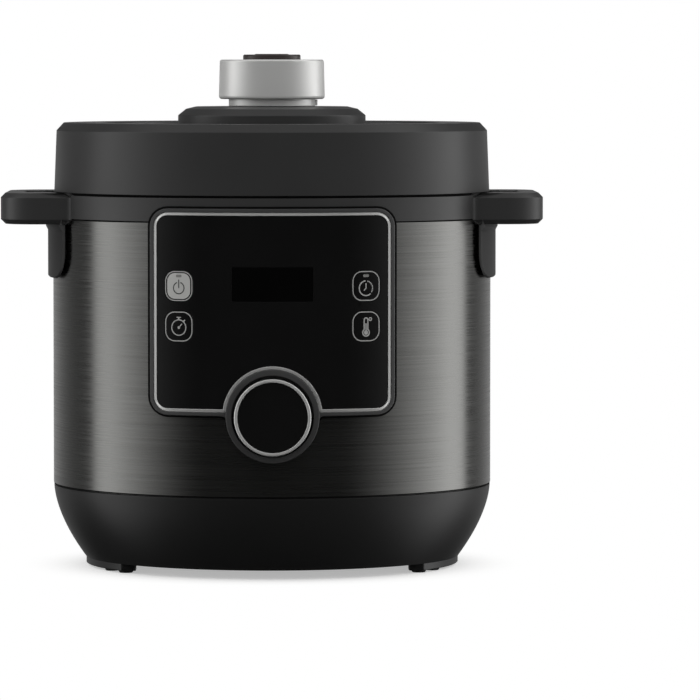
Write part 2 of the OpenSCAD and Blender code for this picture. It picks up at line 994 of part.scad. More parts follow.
module display_module() {
  color("#3d4a3f")
    facing_front(board_front, fascia_in_r - module_gap) display_outline(module_margin);
}

module control_board() {
  color("#1f5a35")
    facing_front(board_y, board_front)
      difference() {
        translate([-key_x - board_margin, dial_z - board_below])
          square([2 * (key_x + board_margin), key_upper_z + board_below - dial_z + board_below]);
        dial_disc(shaft_r + 1);
        for (x = [-boss_x, boss_x], z = [boss_low_z, boss_high_z])
          translate([x, z]) circle(r = screw_r);
      }
}

module tact_switches() {
  color("#333333")
    for (x = [-key_x, key_x], z = [key_lower_z, key_upper_z])
      facing_front(board_front, board_front + switch_h)
        translate([x - switch_w / 2, z - switch_w / 2]) square(switch_w);
}

module encoder_body() {
  color("#8a8d8f")
    difference() {
      facing_front(board_front, board_front + encoder_h)
        translate([-encoder_w / 2, dial_z - encoder_w / 2]) square(encoder_w);
      on_dial_axis() disc(shaft_r + trim_gap, board_front + 1, tall);
    }
}

// A key: its face follows the fascia, and its stem ends just clear of its switch
module key_cap(side, z) {
  stem_end = board_front + switch_h + key_travel + play;
  color("#0b0c0d") {
    wrapped(fascia_in_r, fascia_r)
      round_rect(side * key_x - key_w / 2, side * key_x + key_w / 2,
                 z - key_h / 2, z + key_h / 2, key_corner_r);
    difference() {
      facing_front(stem_end, fascia_r)
        translate([side * key_x - key_stem_w / 2, z - key_stem_w / 2]) square(key_stem_w);
      ring(fascia_in_r + fascia_t / 2, tall, 0, tall);
    }
  }
}

module key_power() {
  key_cap(-1, key_upper_z);
}

module key_timer() {
  key_cap(-1, key_lower_z);
}

module key_delay() {
  key_cap(1, key_upper_z);
}

module key_temperature() {
  key_cap(1, key_lower_z);
}

// ---------------------------------------------------------------- dial

module encoder_shaft() {
  color("#b0b2b4")
    on_dial_axis() disc(shaft_r, board_front + 1 + trim_gap, dial_front - dial_face_t - dial_travel - play);
}

module dial_cap() {
  rear = fascia_in_r + dial_travel + play;
  ring_rear = dial_front - dial_ring_t;
  face_rear = dial_front - dial_face_t;
  color("#0c0c0d")
    on_dial_axis()
      difference() {
        rotate_extrude()
          polygon([
            [0, rear], [dial_hub_r, rear], [dial_hub_r, face_rear], [dial_r - dial_wall, face_rear],
            [dial_r - dial_wall, rear], [dial_r, rear], [dial_r, ring_rear],
            [dial_face_r, ring_rear], [dial_face_r, dial_front - 0.8], [0, dial_front - 1.4]
          ]);
        disc(shaft_r + trim_gap, 0, face_rear);
      }
}

module dial_ring() {
  color("#bfc1c3")
    on_dial_axis()
      rotate_extrude()
        polygon([
          [dial_face_r + trim_gap, dial_front - dial_ring_t], [dial_r, dial_front - dial_ring_t],
          [dial_r, dial_front - 0.8], [dial_r - 0.8, dial_front],
          [dial_face_r + 0.7, dial_front], [dial_face_r + trim_gap, dial_front - 0.6]
        ]);
}

// ---------------------------------------------------------------- heating and power

module outer_pot() {
  color("#c5c6c4")
    difference() {
      union() {
        ring(pot_wall_in_r, pot_wall_in_r + pot_wall_t, vessel_floor_z, flange_z);
        disc(pot_wall_in_r + 0.1, vessel_floor_z, vessel_floor_z + pot_wall_t);
      }
      disc(heater_hole_r, 0, tall);
      at_bracket_screws() disc(screw_r + trim_gap, 0, pot_base_z);
    }
}

module at_bracket_screws() {
  for (x = [-1, 1])
    translate([x * bracket_screw_x, 0, 0]) children();
}

module lock_flange() {
  color("#d2d3d1")
    difference() {
      union() {
        disc(channel_ri, flange_z, flange_z + flange_t);
        for (i = [0 : lug_count - 1])
          sector(bowl_r + 6, lug_out_r, flange_z, flange_z + flange_t,
                 360 * i / lug_count - lug_angle / 2, 360 * i / lug_count + lug_angle / 2);
      }
      disc(flange_in_r, 0, tall);
    }
}

module heating_plate() {
  z0 = vessel_floor_z + pot_wall_t;
  color("#9a9c9d")
    difference() {
      rotate_extrude()
        polygon([
          [0, z0], [heater_flange_r, z0], [heater_flange_r, z0 + 3], [heater_r + 8, z0 + 5],
          [heater_r + 1, plate_face_z - 2], [heater_r - 3, plate_face_z], [0, plate_face_z]
        ]);
      disc(sensor_r + play, 0, tall);
      disc(sensor_r + sensor_lip + 1, 0, sensor_lip_z);
    }
}

module heater_terminals() {
  color("#b5a878")
    for (x = [-1, 1])
      translate([x * terminal_x, terminal_y, 0])
        disc(terminal_r, bracket_z, vessel_floor_z + pot_wall_t);
}

module pressure_bracket() {
  color("#a9aaa8") {
    block(-bracket_reach, bracket_reach, -bracket_w / 2, bracket_w / 2, bracket_z, bracket_z + bracket_t);
    at_bracket_screws() {
      disc(screw_r, bracket_z - 1, vessel_floor_z + pot_wall_t + 1);
      disc(screw_head_r, bracket_z - screw_head_h, bracket_z + 0.5);
      disc(screw_r + 1.5, bracket_z + bracket_t / 2, vessel_floor_z);
    }
  }
}

module pressure_switch() {
  color("#e8e4d8")
    on_board(pressure_x, 0, pressure_l, pressure_w, bracket_z - pressure_h, pressure_h);
}

module thermal_fuse() {
  color("#e3d9c0")
    on_board(fuse_x, 0, fuse_l, fuse_w, bracket_z - fuse_h, fuse_h);
}

module sensor_cap() {
  top = plate_face_z;
  color("#cfd0ce")
    difference() {
      union() {
        disc(sensor_r, top - sensor_h, top);
        disc(sensor_r + sensor_lip, top - sensor_h, sensor_lip_z - play);
      }
      disc(sensor_r - sensor_wall, 0, top - sensor_wall);
    }
}

// A coil spring drawn as a stack of rings joined by a thin sleeve
module coil_stack(r, wire, z0, z1, turns) {
  pitch = (z1 - z0) / turns;
  rotate_extrude()
    union() {
      for (i = [0 : turns - 1])
        translate([r - wire / 2, z0 + pitch * i]) square([wire, pitch * 0.6]);
      translate([r - wire / 6, z0]) square([wire / 3, z1 - z0]);
    }
}

module sensor_spring() {
  color("#b9bbbd")
    coil_stack(6, 1, bracket_z + bracket_t, plate_face_z - sensor_wall, 8);
}

module power_board() {
  color("#2d6b3c")
    block(-board_l / 2, board_l / 2, -board_w / 2, board_w / 2, board_z, board_z + board_t);
}

// A boxed component of that length, width and height, centred on a place on the board
module on_board(x, y, l, w, z, h) {
  block(x - l / 2, x + l / 2, y - w / 2, y + w / 2, z, z + h);
}

module power_components() {
  z = board_z + board_t;
  color("#30343a") {
    on_board(filter_x, filter_y, filter_l, filter_w, z, filter_h);
    on_board(transformer_x, transformer_y, transformer_l, transformer_w, z, transformer_h);
    on_board(relay_x, relay_y, relay_l, relay_w, z, relay_h);
    for (i = [0, 1])
      translate([capacitor_x + i * capacitor_pitch, capacitor_y, 0])
        disc(capacitor_r - i, z, z + capacitor_h);
    translate([varistor_x, varistor_y, 0]) disc(varistor_r, z, z + varistor_h);
  }
}

module power_inlet() {
  body_y = pocket_y - inlet_depth - inlet_rear;
  color("#101112")
    difference() {
      union() {
        inlet_block(inlet_wall, body_y, pocket_y);
        inlet_block(inlet_wall + bezel_w, pocket_y, pocket_y + bezel_t);
      }
      inlet_block(0, pocket_y + bezel_t - inlet_depth, tall);
      inlet_blades() block(-blade_t / 2 - 0.05, blade_t / 2 + 0.05, body_y - over, tall,
                           -blade_w / 2 - 0.05, blade_w / 2 + 0.05);
    }
}

// The socket's rectangle, grown on every side, between two distances behind the axis
module inlet_block(grow, y0, y1) {
  block(-inlet_w / 2 - grow, inlet_w / 2 + grow, y0, y1,
        inlet_z - inlet_h / 2 - grow, inlet_z + inlet_h / 2 + grow);
}

// Two live blades and, a little higher, the earth blade
module inlet_blades() {
  for (p = [[-blade_x, -blade_drop], [blade_x, -blade_drop], [0, earth_rise]])
    translate([p[0], 0, inlet_z + p[1]]) children();
}

module inlet_pins() {
  body_y = pocket_y - inlet_depth - inlet_rear;
  color("#c8b36a")
    inlet_blades()
      block(-blade_t / 2, blade_t / 2, body_y - 8, pocket_y - 1, -blade_w / 2, blade_w / 2);
}

// ---------------------------------------------------------------- condensate cup

cup_half = cup_w / 2;
rail_in = cup_half + 0.6;
rail_out = cup_half + cup_lip + rail_clear;
rail_base_z = cup_top - cup_rim_t - rail_clear;

module cup_bracket() {
  side = rail_out + rail_t;
  y1 = cup_back - cup_face_t;
  color("#1a1b1c")
    difference() {
      union() {
        block(-side, side, shell_r - bracket_root, y1, bracket_plate_z, bracket_plate_z + bracket_plate_t);
        for (s = [-1, 1]) {
          block(min(s * rail_out, s * side), max(s * rail_out, s * side), shell_r - bracket_root, y1,
                rail_base_z - rail_t, bracket_plate_z + 1);
          block(min(s * rail_in, s * side), max(s * rail_in, s * side), shell_r - bracket_root, y1,
                rail_base_z - rail_t, rail_base_z);
        }
        intersection() {
          ring(back_r, back_r + bracket_flange_t, rail_base_z - rail_t, bracket_plate_z + 10);
          block(-side, side, 0, tall, 0, tall);
        }
      }
      disc(back_r, 0, tall);
      translate([0, spout_y, 0]) disc(spout_r + 0.5, 0, tall);
    }
}

module condensate_cup() {
  floor_z = cup_top - cup_h;
  rim_w = cup_half + cup_lip;
  color("#202224")
    difference() {
      union() {
        block(-cup_half, cup_half, cup_front, cup_back, floor_z, cup_top);
        block(-rim_w, rim_w, cup_front, cup_back - cup_face_t - play, cup_top - cup_rim_t, cup_top);
      }
      block(-cup_half + cup_wall, cup_half - cup_wall, cup_front + cup_wall, cup_back - cup_wall,
            floor_z + cup_wall, cup_top + over);
    }
}

// ---------------------------------------------------------------- bowl

bowl_curve_steps = 10;

// The bowl's wall as a quarter of an ellipse that runs into a straight side
function bowl_line(inset) = [
  for (i = [0 : bowl_curve_steps])
    let (a = 90 * i / bowl_curve_steps)
      [bowl_flat_r + (bowl_r - inset - bowl_flat_r) * sin(a),
       pot_base_z + inset + (bowl_round_h - inset) * (1 - cos(a))]
];

module bowl_solid(inset, top_z) {
  rotate_extrude()
    polygon(concat(
      [[0, pot_base_z + inset]], bowl_line(inset),
      [[bowl_r - inset, top_z], [0, top_z]]
    ));
}

module inner_pot() {
  color("#3a3b3d")
    difference() {
      union() {
        bowl_solid(0, pot_rim_top);
        disc(bowl_rim_r, pot_rim_z, pot_rim_top);
      }
      bowl_solid(bowl_wall, pot_rim_top + over);
    }
}

// ---------------------------------------------------------------- lid

// Radius of the lid's inner wall at a height
function lid_in_r(z) = lid_r - lid_wall - lid_lean * (z - lid_z0);

module lid_shell() {
  w = lid_wall;
  color("#2c2d2e")
    difference() {
      union() {
        rotate_extrude()
          polygon([
            [lid_r - w, lid_z0], [lid_r, lid_z0], [lid_r - lid_draft, lid_z1],
            [lid_rim_out, lid_top], [lid_rim_in, lid_top],
            [lid_rim_in - 1, lid_floor], [plinth_hole_r, lid_floor],
            [plinth_hole_r, lid_under], [lid_rim_in + w - 1, lid_under],
            [lid_rim_in + w, lid_top - w], [lid_rim_out - 1, lid_top - w],
            [lid_r - lid_draft - w, lid_z1 - 1]
          ]);
        for (a = post_angles)
          at_polar(post_ring_r, a) disc(post_r, plate_top, lid_floor - 0.5);
      }
      for (a = post_angles)
        at_polar(post_ring_r, a) disc(screw_r, 0, plate_top + post_screw_l + 1);
    }
}

module lid_plinth() {
  w = plinth_wall;
  edge_r = plinth_r - plinth_chamfer_w;
  flat_r = edge_r - plinth_slope_w;
  color("#26272a")
    difference() {
      rotate_extrude()
        polygon([
          [plinth_r, lid_floor], [plinth_r, plinth_side_z], [edge_r, plinth_edge_z],
          [flat_r, plinth_top], [spindle_r + play, plinth_top], [spindle_r + play, plinth_top - w],
          [flat_r - 1, plinth_top - w], [edge_r - 1, plinth_edge_z - w],
          [plinth_r - w, plinth_side_z - 1], [plinth_r - w, lid_floor]
        ]);
      translate([float_x, float_y, 0]) disc(float_r + play, 0, tall);
    }
}

// Closes the gap between the lid's side and the turning bell, seen from below
module lid_skirt_ring() {
  z0 = lid_z0 + 1;
  z1 = z0 + skirt_h;
  r0 = lid_in_r(z0) - 0.1;
  r1 = lid_in_r(z1) - 0.1;
  color("#1c1d1e")
    rotate_extrude()
      polygon([
        [bell_r + 1, z0], [r0, z0], [r1, z1], [r1 - skirt_t, z1],
        [r1 - skirt_t, z0 + skirt_t], [bell_r + 1, z0 + skirt_t]
      ]);
}

module pressure_plate() {
  color("#c2c4c5")
    difference() {
      disc(plate_r, plate_z, plate_top);
      disc(seat_r + trim_gap, 0, tall);
      translate([float_x, float_y, 0]) disc(float_r + play, 0, tall);
      for (a = post_angles)
        at_polar(post_ring_r, a) disc(screw_r + 0.1, 0, tall);
    }
}

module inner_lid() {
  color("#d7d8d6")
    difference() {
      disc(bowl_rim_r, inner_lid_z, inner_lid_z + inner_lid_t);
      disc(seat_r + trim_gap, 0, tall);
      translate([float_x, float_y, 0]) disc(float_r + play, 0, tall);
      for (a = post_angles)
        at_polar(post_ring_r, a) disc(screw_head_r + 0.4, 0, tall);
    }
}

module lid_gasket() {
  color("#d9d9d4")
    rotate_extrude()
      polygon([
        [gasket_in_r, gasket_z + 0.6], [gasket_in_r + 1.5, gasket_z], [bowl_rim_r - 1.5, gasket_z],
        [bowl_rim_r, gasket_z + 1], [bowl_rim_r, inner_lid_z], [gasket_in_r, inner_lid_z]
      ]);
}

module lid_nut() {
  color("#8d9092")
    difference() {
      disc(nut_r, inner_lid_z - nut_h, inner_lid_z);
      disc(nut_r - nut_wall, 0, inner_lid_z - nut_floor);
      disc(seat_r + trim_gap, 0, tall);
      for (a = [0 : 60 : 300])
        at_polar(nut_r - nut_wall - 1, a)
          translate([0, 0, inner_lid_z - (nut_h + nut_floor) / 2])
            rotate([0, 90, 0]) cylinder(r = nut_hole_r, h = nut_wall + 3);
    }
}

module valve_seat() {
  color("#b08d3c")
    difference() {
      disc(seat_r, inner_lid_z - seat_t, plate_top);
      disc(seat_bore_r, 0, tall);
    }
}

module lid_screws() {
  color("silver")
    for (a = post_angles)
      at_polar(post_ring_r, a) screw(plate_z, plate_top + post_screw_l, false);
}

// ---------------------------------------------------------------- lock and knob

// The steel bell hangs over the flange. Its hooks sit between the flange's lugs until it turns.
module lock_bell() {
  float_ring_r = norm([float_x, float_y]);
  color("#b4b6b7")
    difference() {
      union() {
        disc(bell_r, bell_z, bell_top);
        ring(bell_in_r, bell_r, hook_z, bell_top);
        for (i = [0 : lug_count - 1])
          sector(channel_ri + 1, bell_in_r + 0.5, hook_z, hook_z + hook_t,
                 360 * (i + 0.5) / lug_count - hook_angle / 2,
                 360 * (i + 0.5) / lug_count + hook_angle / 2);
      }
      disc(spindle_r - spindle_step, 0, tall);
      for (a = post_angles)
        sector(post_ring_r - post_r - 1, post_ring_r + post_r + 1, 0, tall,
               a - slot_spare, a + lock_turn + slot_spare);
      rotate([0, 0, atan2(float_y, float_x)])
        sector(float_ring_r - float_slot_w / 2, float_ring_r + float_slot_w / 2, 0, tall,
               -slot_spare, lock_turn + slot_spare);
    }
}

module lock_spindle() {
  color("#a7a9ab")
    difference() {
      union() {
        disc(spindle_r, bell_top, knob_z + knob_floor);
        disc(spindle_r - spindle_step - trim_gap, spindle_z, bell_top + 1);
      }
      disc(spindle_in_r, 0, bell_top + 4);
      disc(spindle_in_r, spring_seat_z, tall);
      disc(stem_r + play, 0, tall);
    }
}

module knob_neck() {
  color("#b9bbbd") {
    difference() {
      disc(neck_r, neck_z, knob_z);
      disc(spindle_r + trim_gap, 0, tall);
    }
    // pointer that shows which way the knob is turned
    block(neck_r - 1, neck_r + pointer_l, -pointer_w / 2, pointer_w / 2, neck_z + play, knob_z - play);
  }
}

module knob_body() {
  top_r = knob_r - knob_lean;
  color("#c6c8ca")
    rotate_extrude()
      polygon([
        [spindle_r + trim_gap, knob_z], [knob_r - 1.6, knob_z], [knob_r - 0.4, knob_z + 0.6],
        [knob_r, knob_z + 1.8], [top_r, knob_top - 1], [top_r - 0.9, knob_top],
        [button_r + play, knob_top], [button_r + play, knob_z + knob_floor],
        [spindle_r + trim_gap, knob_z + knob_floor]
      ]);
}

module release_button() {
  color("#3a3433")
    difference() {
      rotate_extrude()
        polygon([
          [0, button_seat_z], [button_r - 2, button_seat_z],
          [button_r - 2, knob_top - button_skirt], [button_r, knob_top - button_skirt],
          [button_r, button_top - 2 * button_edge], [button_r - button_edge, button_top - button_edge],
          [button_mid_r, button_top - button_edge], [button_mid_r - button_edge, button_top],
          [0, button_top]
        ]);
      disc(stem_r + trim_gap, 0, button_seat_z + 2);
    }
}

module release_stem() {
  color("#c9cbcc") {
    disc(stem_r, poppet_z - 1, button_seat_z + 2);
    disc(poppet_r, poppet_z - poppet_t, poppet_z);
  }
}

module release_spring() {
  color("#b9bbbd")
    coil_stack(6.5, 1, spring_seat_z, button_seat_z, 9);
}

module float_pin() {
  collar_z = inner_lid_z - float_rise - float_collar_t - play;
  color("#9c2f2a")
    translate([float_x, float_y, 0]) {
      disc(float_r, collar_z, float_top);
      disc(float_collar_r, collar_z, collar_z + float_collar_t);
    }
}

// ---------------------------------------------------------------- nodes

base_shell();
bottom_cover();
foot_pads();
bottom_screws();
outer_shell();
rim_ring();
handle_lower_left();
handle_lower_right();
handle_screws();
panel_frame();
panel_trim();
panel_fascia();
display_window();
display_module();
control_board();
board_screws();
tact_switches();
encoder_body();
outer_pot();
lock_flange();
heating_plate();
heater_terminals();
pressure_bracket();
pressure_switch();
thermal_fuse();
power_board();
power_components();
power_inlet();
inlet_pins();
cup_bracket();
key_power();
key_timer();
key_delay();
key_temperature();
encoder_shaft();
dial_cap();
dial_ring();
sensor_cap();
sensor_spring();
inner_pot();
lid_shell();
lid_plinth();
lid_skirt_ring();
pressure_plate();
inner_lid();
lid_gasket();
lid_nut();
valve_seat();
lid_screws();
lock_bell();
lock_spindle();
knob_neck();
knob_body();
release_button();
release_stem();
release_spring();
float_pin();
condensate_cup();
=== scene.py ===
# %% [markdown]
# # Dressing an electric pressure cooker
# The CAD model gives every part its true size and place. This lesson gives the parts their
# look: edges that catch light, brushed steel, moulded plastic, gloss panels and soft light.
# Everything stays in the CAD model's own frame, in metres, with the front facing -Y.
#
# The first cell loads that fixed frame. Its meshes are never moved or edited. A part either
# keeps its CAD mesh and gets a better material, or a finer mesh stands in for it.

# %% Load the frame
import json
import math

import bmesh
import bpy
from mathutils import Matrix, Vector
from mathutils.geometry import tessellate_polygon

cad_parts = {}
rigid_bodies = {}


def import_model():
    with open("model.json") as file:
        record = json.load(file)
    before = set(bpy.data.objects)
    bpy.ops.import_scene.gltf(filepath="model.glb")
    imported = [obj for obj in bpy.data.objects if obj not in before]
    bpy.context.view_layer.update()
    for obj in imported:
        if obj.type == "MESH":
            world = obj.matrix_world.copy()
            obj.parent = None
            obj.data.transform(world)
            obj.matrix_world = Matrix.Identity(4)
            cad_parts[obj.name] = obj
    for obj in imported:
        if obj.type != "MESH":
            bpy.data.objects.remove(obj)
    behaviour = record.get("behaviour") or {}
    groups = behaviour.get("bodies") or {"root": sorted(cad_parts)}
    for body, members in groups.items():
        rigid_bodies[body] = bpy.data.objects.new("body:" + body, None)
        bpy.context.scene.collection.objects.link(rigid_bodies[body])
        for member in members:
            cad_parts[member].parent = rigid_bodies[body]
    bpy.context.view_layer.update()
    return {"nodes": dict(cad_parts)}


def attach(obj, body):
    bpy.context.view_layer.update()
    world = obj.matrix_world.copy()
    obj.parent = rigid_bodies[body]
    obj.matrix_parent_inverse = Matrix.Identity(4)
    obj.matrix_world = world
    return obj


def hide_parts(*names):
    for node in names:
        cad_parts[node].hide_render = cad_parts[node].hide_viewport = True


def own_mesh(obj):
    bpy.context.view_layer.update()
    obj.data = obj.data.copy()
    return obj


for leftover in list(bpy.data.objects):
    bpy.data.objects.remove(leftover)
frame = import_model()

# %% [markdown]
# ## Sizes
# A maker's drawing is in millimetres, so this lesson thinks in millimetres too, and turns
# them to metres in one place, when a mesh is finished. The names below repeat the sizes
# that several parts share, such as the radius of the steel skin and the seam heights.

# %% Shared sizes in millimetres
MM = 0.001
SHELL_R, SHELL_IN_R, SEAM_Z, RIM_Z, RIM_TOP, RIM_R = 140.0, 139.2, 52.5, 222.0, 237.5, 139.6
BASE_Z, BASE_TOP_R, BASE_TAPER, BASE_CURVE, BASE_WALL = 6.0, 139.7, 20.0, 1.7, 2.5
HANDLE_Z0, HANDLE_Z1, HANDLE_REACH, HANDLE_HALF_W, HANDLE_CORNER = 219.2, 238.9, 172.0, 57.0, 24.0
SLOT_X0, SLOT_X1, SLOT_HALF_W, HANDLE_SCREW_X = 146.7, 157.7, 21.0, 161.5
LID_Z0, LID_R, LID_Z1, LID_SIDE_TOP_R, LID_TOP = 238.3, 139.2, 278.0, 137.7, 283.0
LID_RIM_OUT, LID_RIM_IN, LID_FLOOR, LID_UNDER, PLINTH_HOLE_R = 133.1, 107.1, 279.5, 277.0, 56.0
PLINTH_R, PLINTH_SIDE_Z, PLINTH_EDGE_Z, PLINTH_TOP = 60.0, 287.6, 291.7, 293.2
KNOB_Z, KNOB_TOP, KNOB_R, BUTTON_R, BUTTON_TOP = 297.9, 323.1, 33.9, 18.4, 326.7
FASCIA_IN_R, FASCIA_R, TRIM_R, FRAME_R = 141.1, 143.1, 143.7, 144.1
PANEL_HALF_W, PANEL_Z0, PANEL_Z1, PANEL_CORNER, BORDER, TRIM_W = 76.7, 102.5, 232.1, 12.0, 3.2, 2.0
DIAL_Z, DIAL_R, DIAL_FACE_R, DIAL_FRONT = 103.5, 23.7, 20.9, 158.5
COLLAR_R, COLLAR_FRONT, ARC_R = 28.9, 147.0, 30.9
KEY_X, KEY_W, KEY_H, KEY_CORNER, KEY_UPPER_Z, KEY_LOWER_Z = 57.8, 17.2, 18.8, 6.6, 183.4, 158.4
DISPLAY_HALF_W, DISPLAY_Z0, DISPLAY_Z1 = 25.3, 174.2, 195.2
LID_POST_AT, LID_POST_TURNS = 80, (30, 150, 270)
POT_RIM_Z, POT_RIM_TOP, POT_BASE_Z = 243.3, 244.8, 80.8
print("overall height", BUTTON_TOP, "mm, reach across the handles", 2 * HANDLE_REACH, "mm")

# %% [markdown]
# ## Colour and nodes
# Screens and paint charts give colours as sRGB hex codes, but a renderer adds light in
# linear values. One function does that conversion for every colour in the file.
# One more function adds a shader or geometry node with its settings and its links, so
# that a material reads as a short list of steps.

# %% Colour and node helpers
def linear(code):
    """An sRGB hex code such as "#2b2c2d" as linear RGBA."""
    values = [int(code[i:i + 2], 16) / 255 for i in (1, 3, 5)]
    return (*[v / 12.92 if v <= 0.04045 else ((v + 0.055) / 1.055) ** 2.4 for v in values], 1.0)


def add(tree, kind, inputs=None, **settings):
    """Adds a node. inputs maps a socket's name or number to a value or to another node's socket."""
    node = tree.nodes.new(kind)
    for name, value in settings.items():
        setattr(node, name, value)
    for key, value in (inputs or {}).items():
        if isinstance(value, bpy.types.NodeSocket):
            tree.links.new(value, node.inputs[key])
        else:
            node.inputs[key].default_value = value
    return node


print("mid grey #808080 is", round(linear("#808080")[0], 3), "in linear light")

# %% [markdown]
# ## Meshes from outlines
# Nearly every part here is either turned about an axis or is a flat plate with an outline,
# so three small mesh makers do most of the work:
# - `rounded` puts an arc on each corner of an outline. Real moulded and pressed edges are
#   never perfectly sharp, and the small arc is what catches the light.
# - `lathe` turns an outline of radius and height about the vertical axis.
# - `plate` lifts outlines with holes through a list of levels, where each level can lie
#   a little further in. That makes chamfers and soft edges on any shape.
# All of them could be done with modifiers, but building them directly keeps the faces few
# and even, and closes poles and seams at once.

# %% Outline helpers
def rounded(points, radii, closed=True):
    """The outline with an arc at each corner. radii is one radius, or {corner number: radius}."""
    count, out = len(points), []
    for i, p in enumerate(points):
        r = radii.get(i, 0) if isinstance(radii, dict) else radii
        if r <= 0 or (not closed and i in (0, count - 1)):
            out.append(tuple(p))
            continue
        p = Vector(p)
        a, b = Vector(points[i - 1]) - p, Vector(points[(i + 1) % count]) - p
        u, v = a.normalized(), b.normalized()
        half = u.angle(v) / 2
        if half > math.radians(89.5):
            out.append(tuple(p))
            continue
        reach = min(r / math.tan(half), 0.49 * a.length, 0.49 * b.length)
        r = reach * math.tan(half)
        centre = p + (u + v).normalized() * (r / math.sin(half))
        start, end = p + u * reach - centre, p + v * reach - centre
        turn = start.angle_signed(end) * -1
        steps = max(2, math.ceil(abs(turn) / math.radians(15)))
        for k in range(steps + 1):
            out.append(tuple(centre + Matrix.Rotation(turn * k / steps, 2) @ start))
    return out


def circle(r, count=96, x=0.0, y=0.0):
    """A round outline, counter-clockwise."""
    turns = [math.tau * i / count for i in range(count)]
    return [(x + r * math.cos(t), y + r * math.sin(t)) for t in turns]


def box_outline(x0, x1, y0, y1, r=0):
    """A rectangle with round corners, counter-clockwise."""
    return rounded([(x0, y0), (x1, y0), (x1, y1), (x0, y1)], r)


def arc(r, a0, a1, count=24, x=0.0, y=0.0):
    """Points along an arc, angles in degrees."""
    turns = [math.radians(a0 + (a1 - a0) * i / count) for i in range(count + 1)]
    return [(x + r * math.cos(t), y + r * math.sin(t)) for t in turns]


def offset(loop, grow):
    """A closed counter-clockwise outline moved outwards by grow."""
    points, out = [Vector(p) for p in loop], []
    for i, p in enumerate(points):
        u, v = (p - points[i - 1]).normalized(), (points[(i + 1) % len(points)] - p).normalized()
        m = Vector((u.y + v.y, -u.x - v.x))
        out.append(p + m * (grow / max(m.length_squared / 2, 0.4)))
    return out


print("a rounded square has", len(box_outline(0, 10, 0, 10, 2)), "points")

# %% Mesh makers
def outward(bm):
    """The mesh with its faces turned outwards, and returned."""
    bmesh.ops.recalc_face_normals(bm, faces=bm.faces)
    return bm


def lathe(profile, segments=192, a0=0.0, a1=360.0):
    """Turns a closed (radius, height) outline about Z. Points on the axis become one pole."""
    bm = bmesh.new()
    full = abs(a1 - a0) >= 360
    steps = segments + (0 if full else 1)
    angles = [math.radians(a0 + (a1 - a0) * i / segments) for i in range(steps)]
    rows = []
    for r, z in profile:
        if r < 1e-6:
            pole = bm.verts.new((0, 0, z))
            rows.append([pole] * (segments + 1))
            continue
        row = [bm.verts.new((r * math.cos(t), r * math.sin(t), z)) for t in angles]
        rows.append(row + row[:1] if full else row)
    for lower, upper in zip(rows, rows[1:] + rows[:1]):
        for i in range(segments):
            corners = []
            for v in (lower[i], lower[i + 1], upper[i + 1], upper[i]):
                if v not in corners:
                    corners.append(v)
            if len(corners) > 2:
                bm.faces.new(corners)
    if not full:
        for end in (0, -1):
            bm.faces.new([row[end] for row in rows])
    return outward(bm)


def plate(*parts, levels=None):
    """A solid that fills the first outline less the others. Each part is an outline, or (outline, levels).

    A level is (how far the edge lies back from the outline, height). The first and last
    heights are the two faces.
    """
    bm, walls = bmesh.new(), []
    for k, part in enumerate(parts):
        loop, steps = part if isinstance(part, tuple) else (part, levels)
        rings = []
        for inset, height in steps:
            moved = offset(loop, inset if k else -inset)
            rings.append([bm.verts.new((p.x, p.y, height)) for p in moved])
        for low, high in zip(rings, rings[1:]):
            for i in range(len(loop)):
                bm.faces.new((low[i - 1], low[i], high[i], high[i - 1]))
        walls.append(rings)
    for end in (0, -1):
        corners = [v for rings in walls for v in rings[end]]
        flat = [[Vector((v.co.x, v.co.y, 0)) for v in rings[end]] for rings in walls]
        for triangle in tessellate_polygon(flat):
            bm.faces.new([corners[i] for i in triangle])
    return outward(bm)


def loft(rings):
    """A solid through rings of equally many points, closed by the first and the last ring."""
    bm = bmesh.new()
    rows = [[bm.verts.new(p) for p in ring] for ring in rings]
    for low, high in zip(rows, rows[1:]):
        for i in range(len(low)):
            bm.faces.new((low[i - 1], low[i], high[i], high[i - 1]))
    bm.faces.new(rows[0])
    bm.faces.new(rows[-1])
    return outward(bm)


def straight(low, high):
    """Levels of a plate with upright sides."""
    return [(0, low), (0, high)]


def soft_levels(low, high, edge, both=True):
    """Levels of a plate with quarter-round edges: on the high face, and on the low one too if both."""
    turns = [math.radians(a) for a in (0, 22.5, 45, 67.5, 90)]
    arcs = [(edge * (1 - math.cos(t)), edge * (1 - math.sin(t))) for t in turns]
    top = [(inset, high - down) for inset, down in arcs]
    return ([(inset, low + down) for inset, down in reversed(arcs)] if both else [(0, low)]) + top


def screw_post(hole_r, r, low, hole_top, high):
    """A post with a blind screw hole from below."""
    section = [(hole_r, low), (r, low), (r, high), (0, high), (0, hole_top), (hole_r, hole_top)]
    return lathe(rounded(section, {1: 0.5}), 32)


def turned(bm, matrix):
    """The mesh moved by a matrix, and returned."""
    bmesh.ops.transform(bm, matrix=matrix, verts=bm.verts)
    return bm


def joined(*meshes):
    """Several bmeshes as one."""
    whole = bmesh.new()
    for bm in meshes:
        carried = bpy.data.meshes.new("carried")
        bm.to_mesh(carried)
        whole.from_mesh(carried)
        bm.free()
        bpy.data.meshes.remove(carried)
    return whole


print("lathe, plate and loft are ready")

# %% [markdown]
# ## Bending plates round the body
# The control panel is flat on the drawing board but follows the round body. So each panel
# part is drawn as a front view, sliced into narrow upright strips, and bent: a point keeps
# its x and z, and its distance from the body's axis becomes the plate's depth.
# Gloss plastic shows every wrong normal, so faces that follow the cylinder get the
# cylinder's own normals.

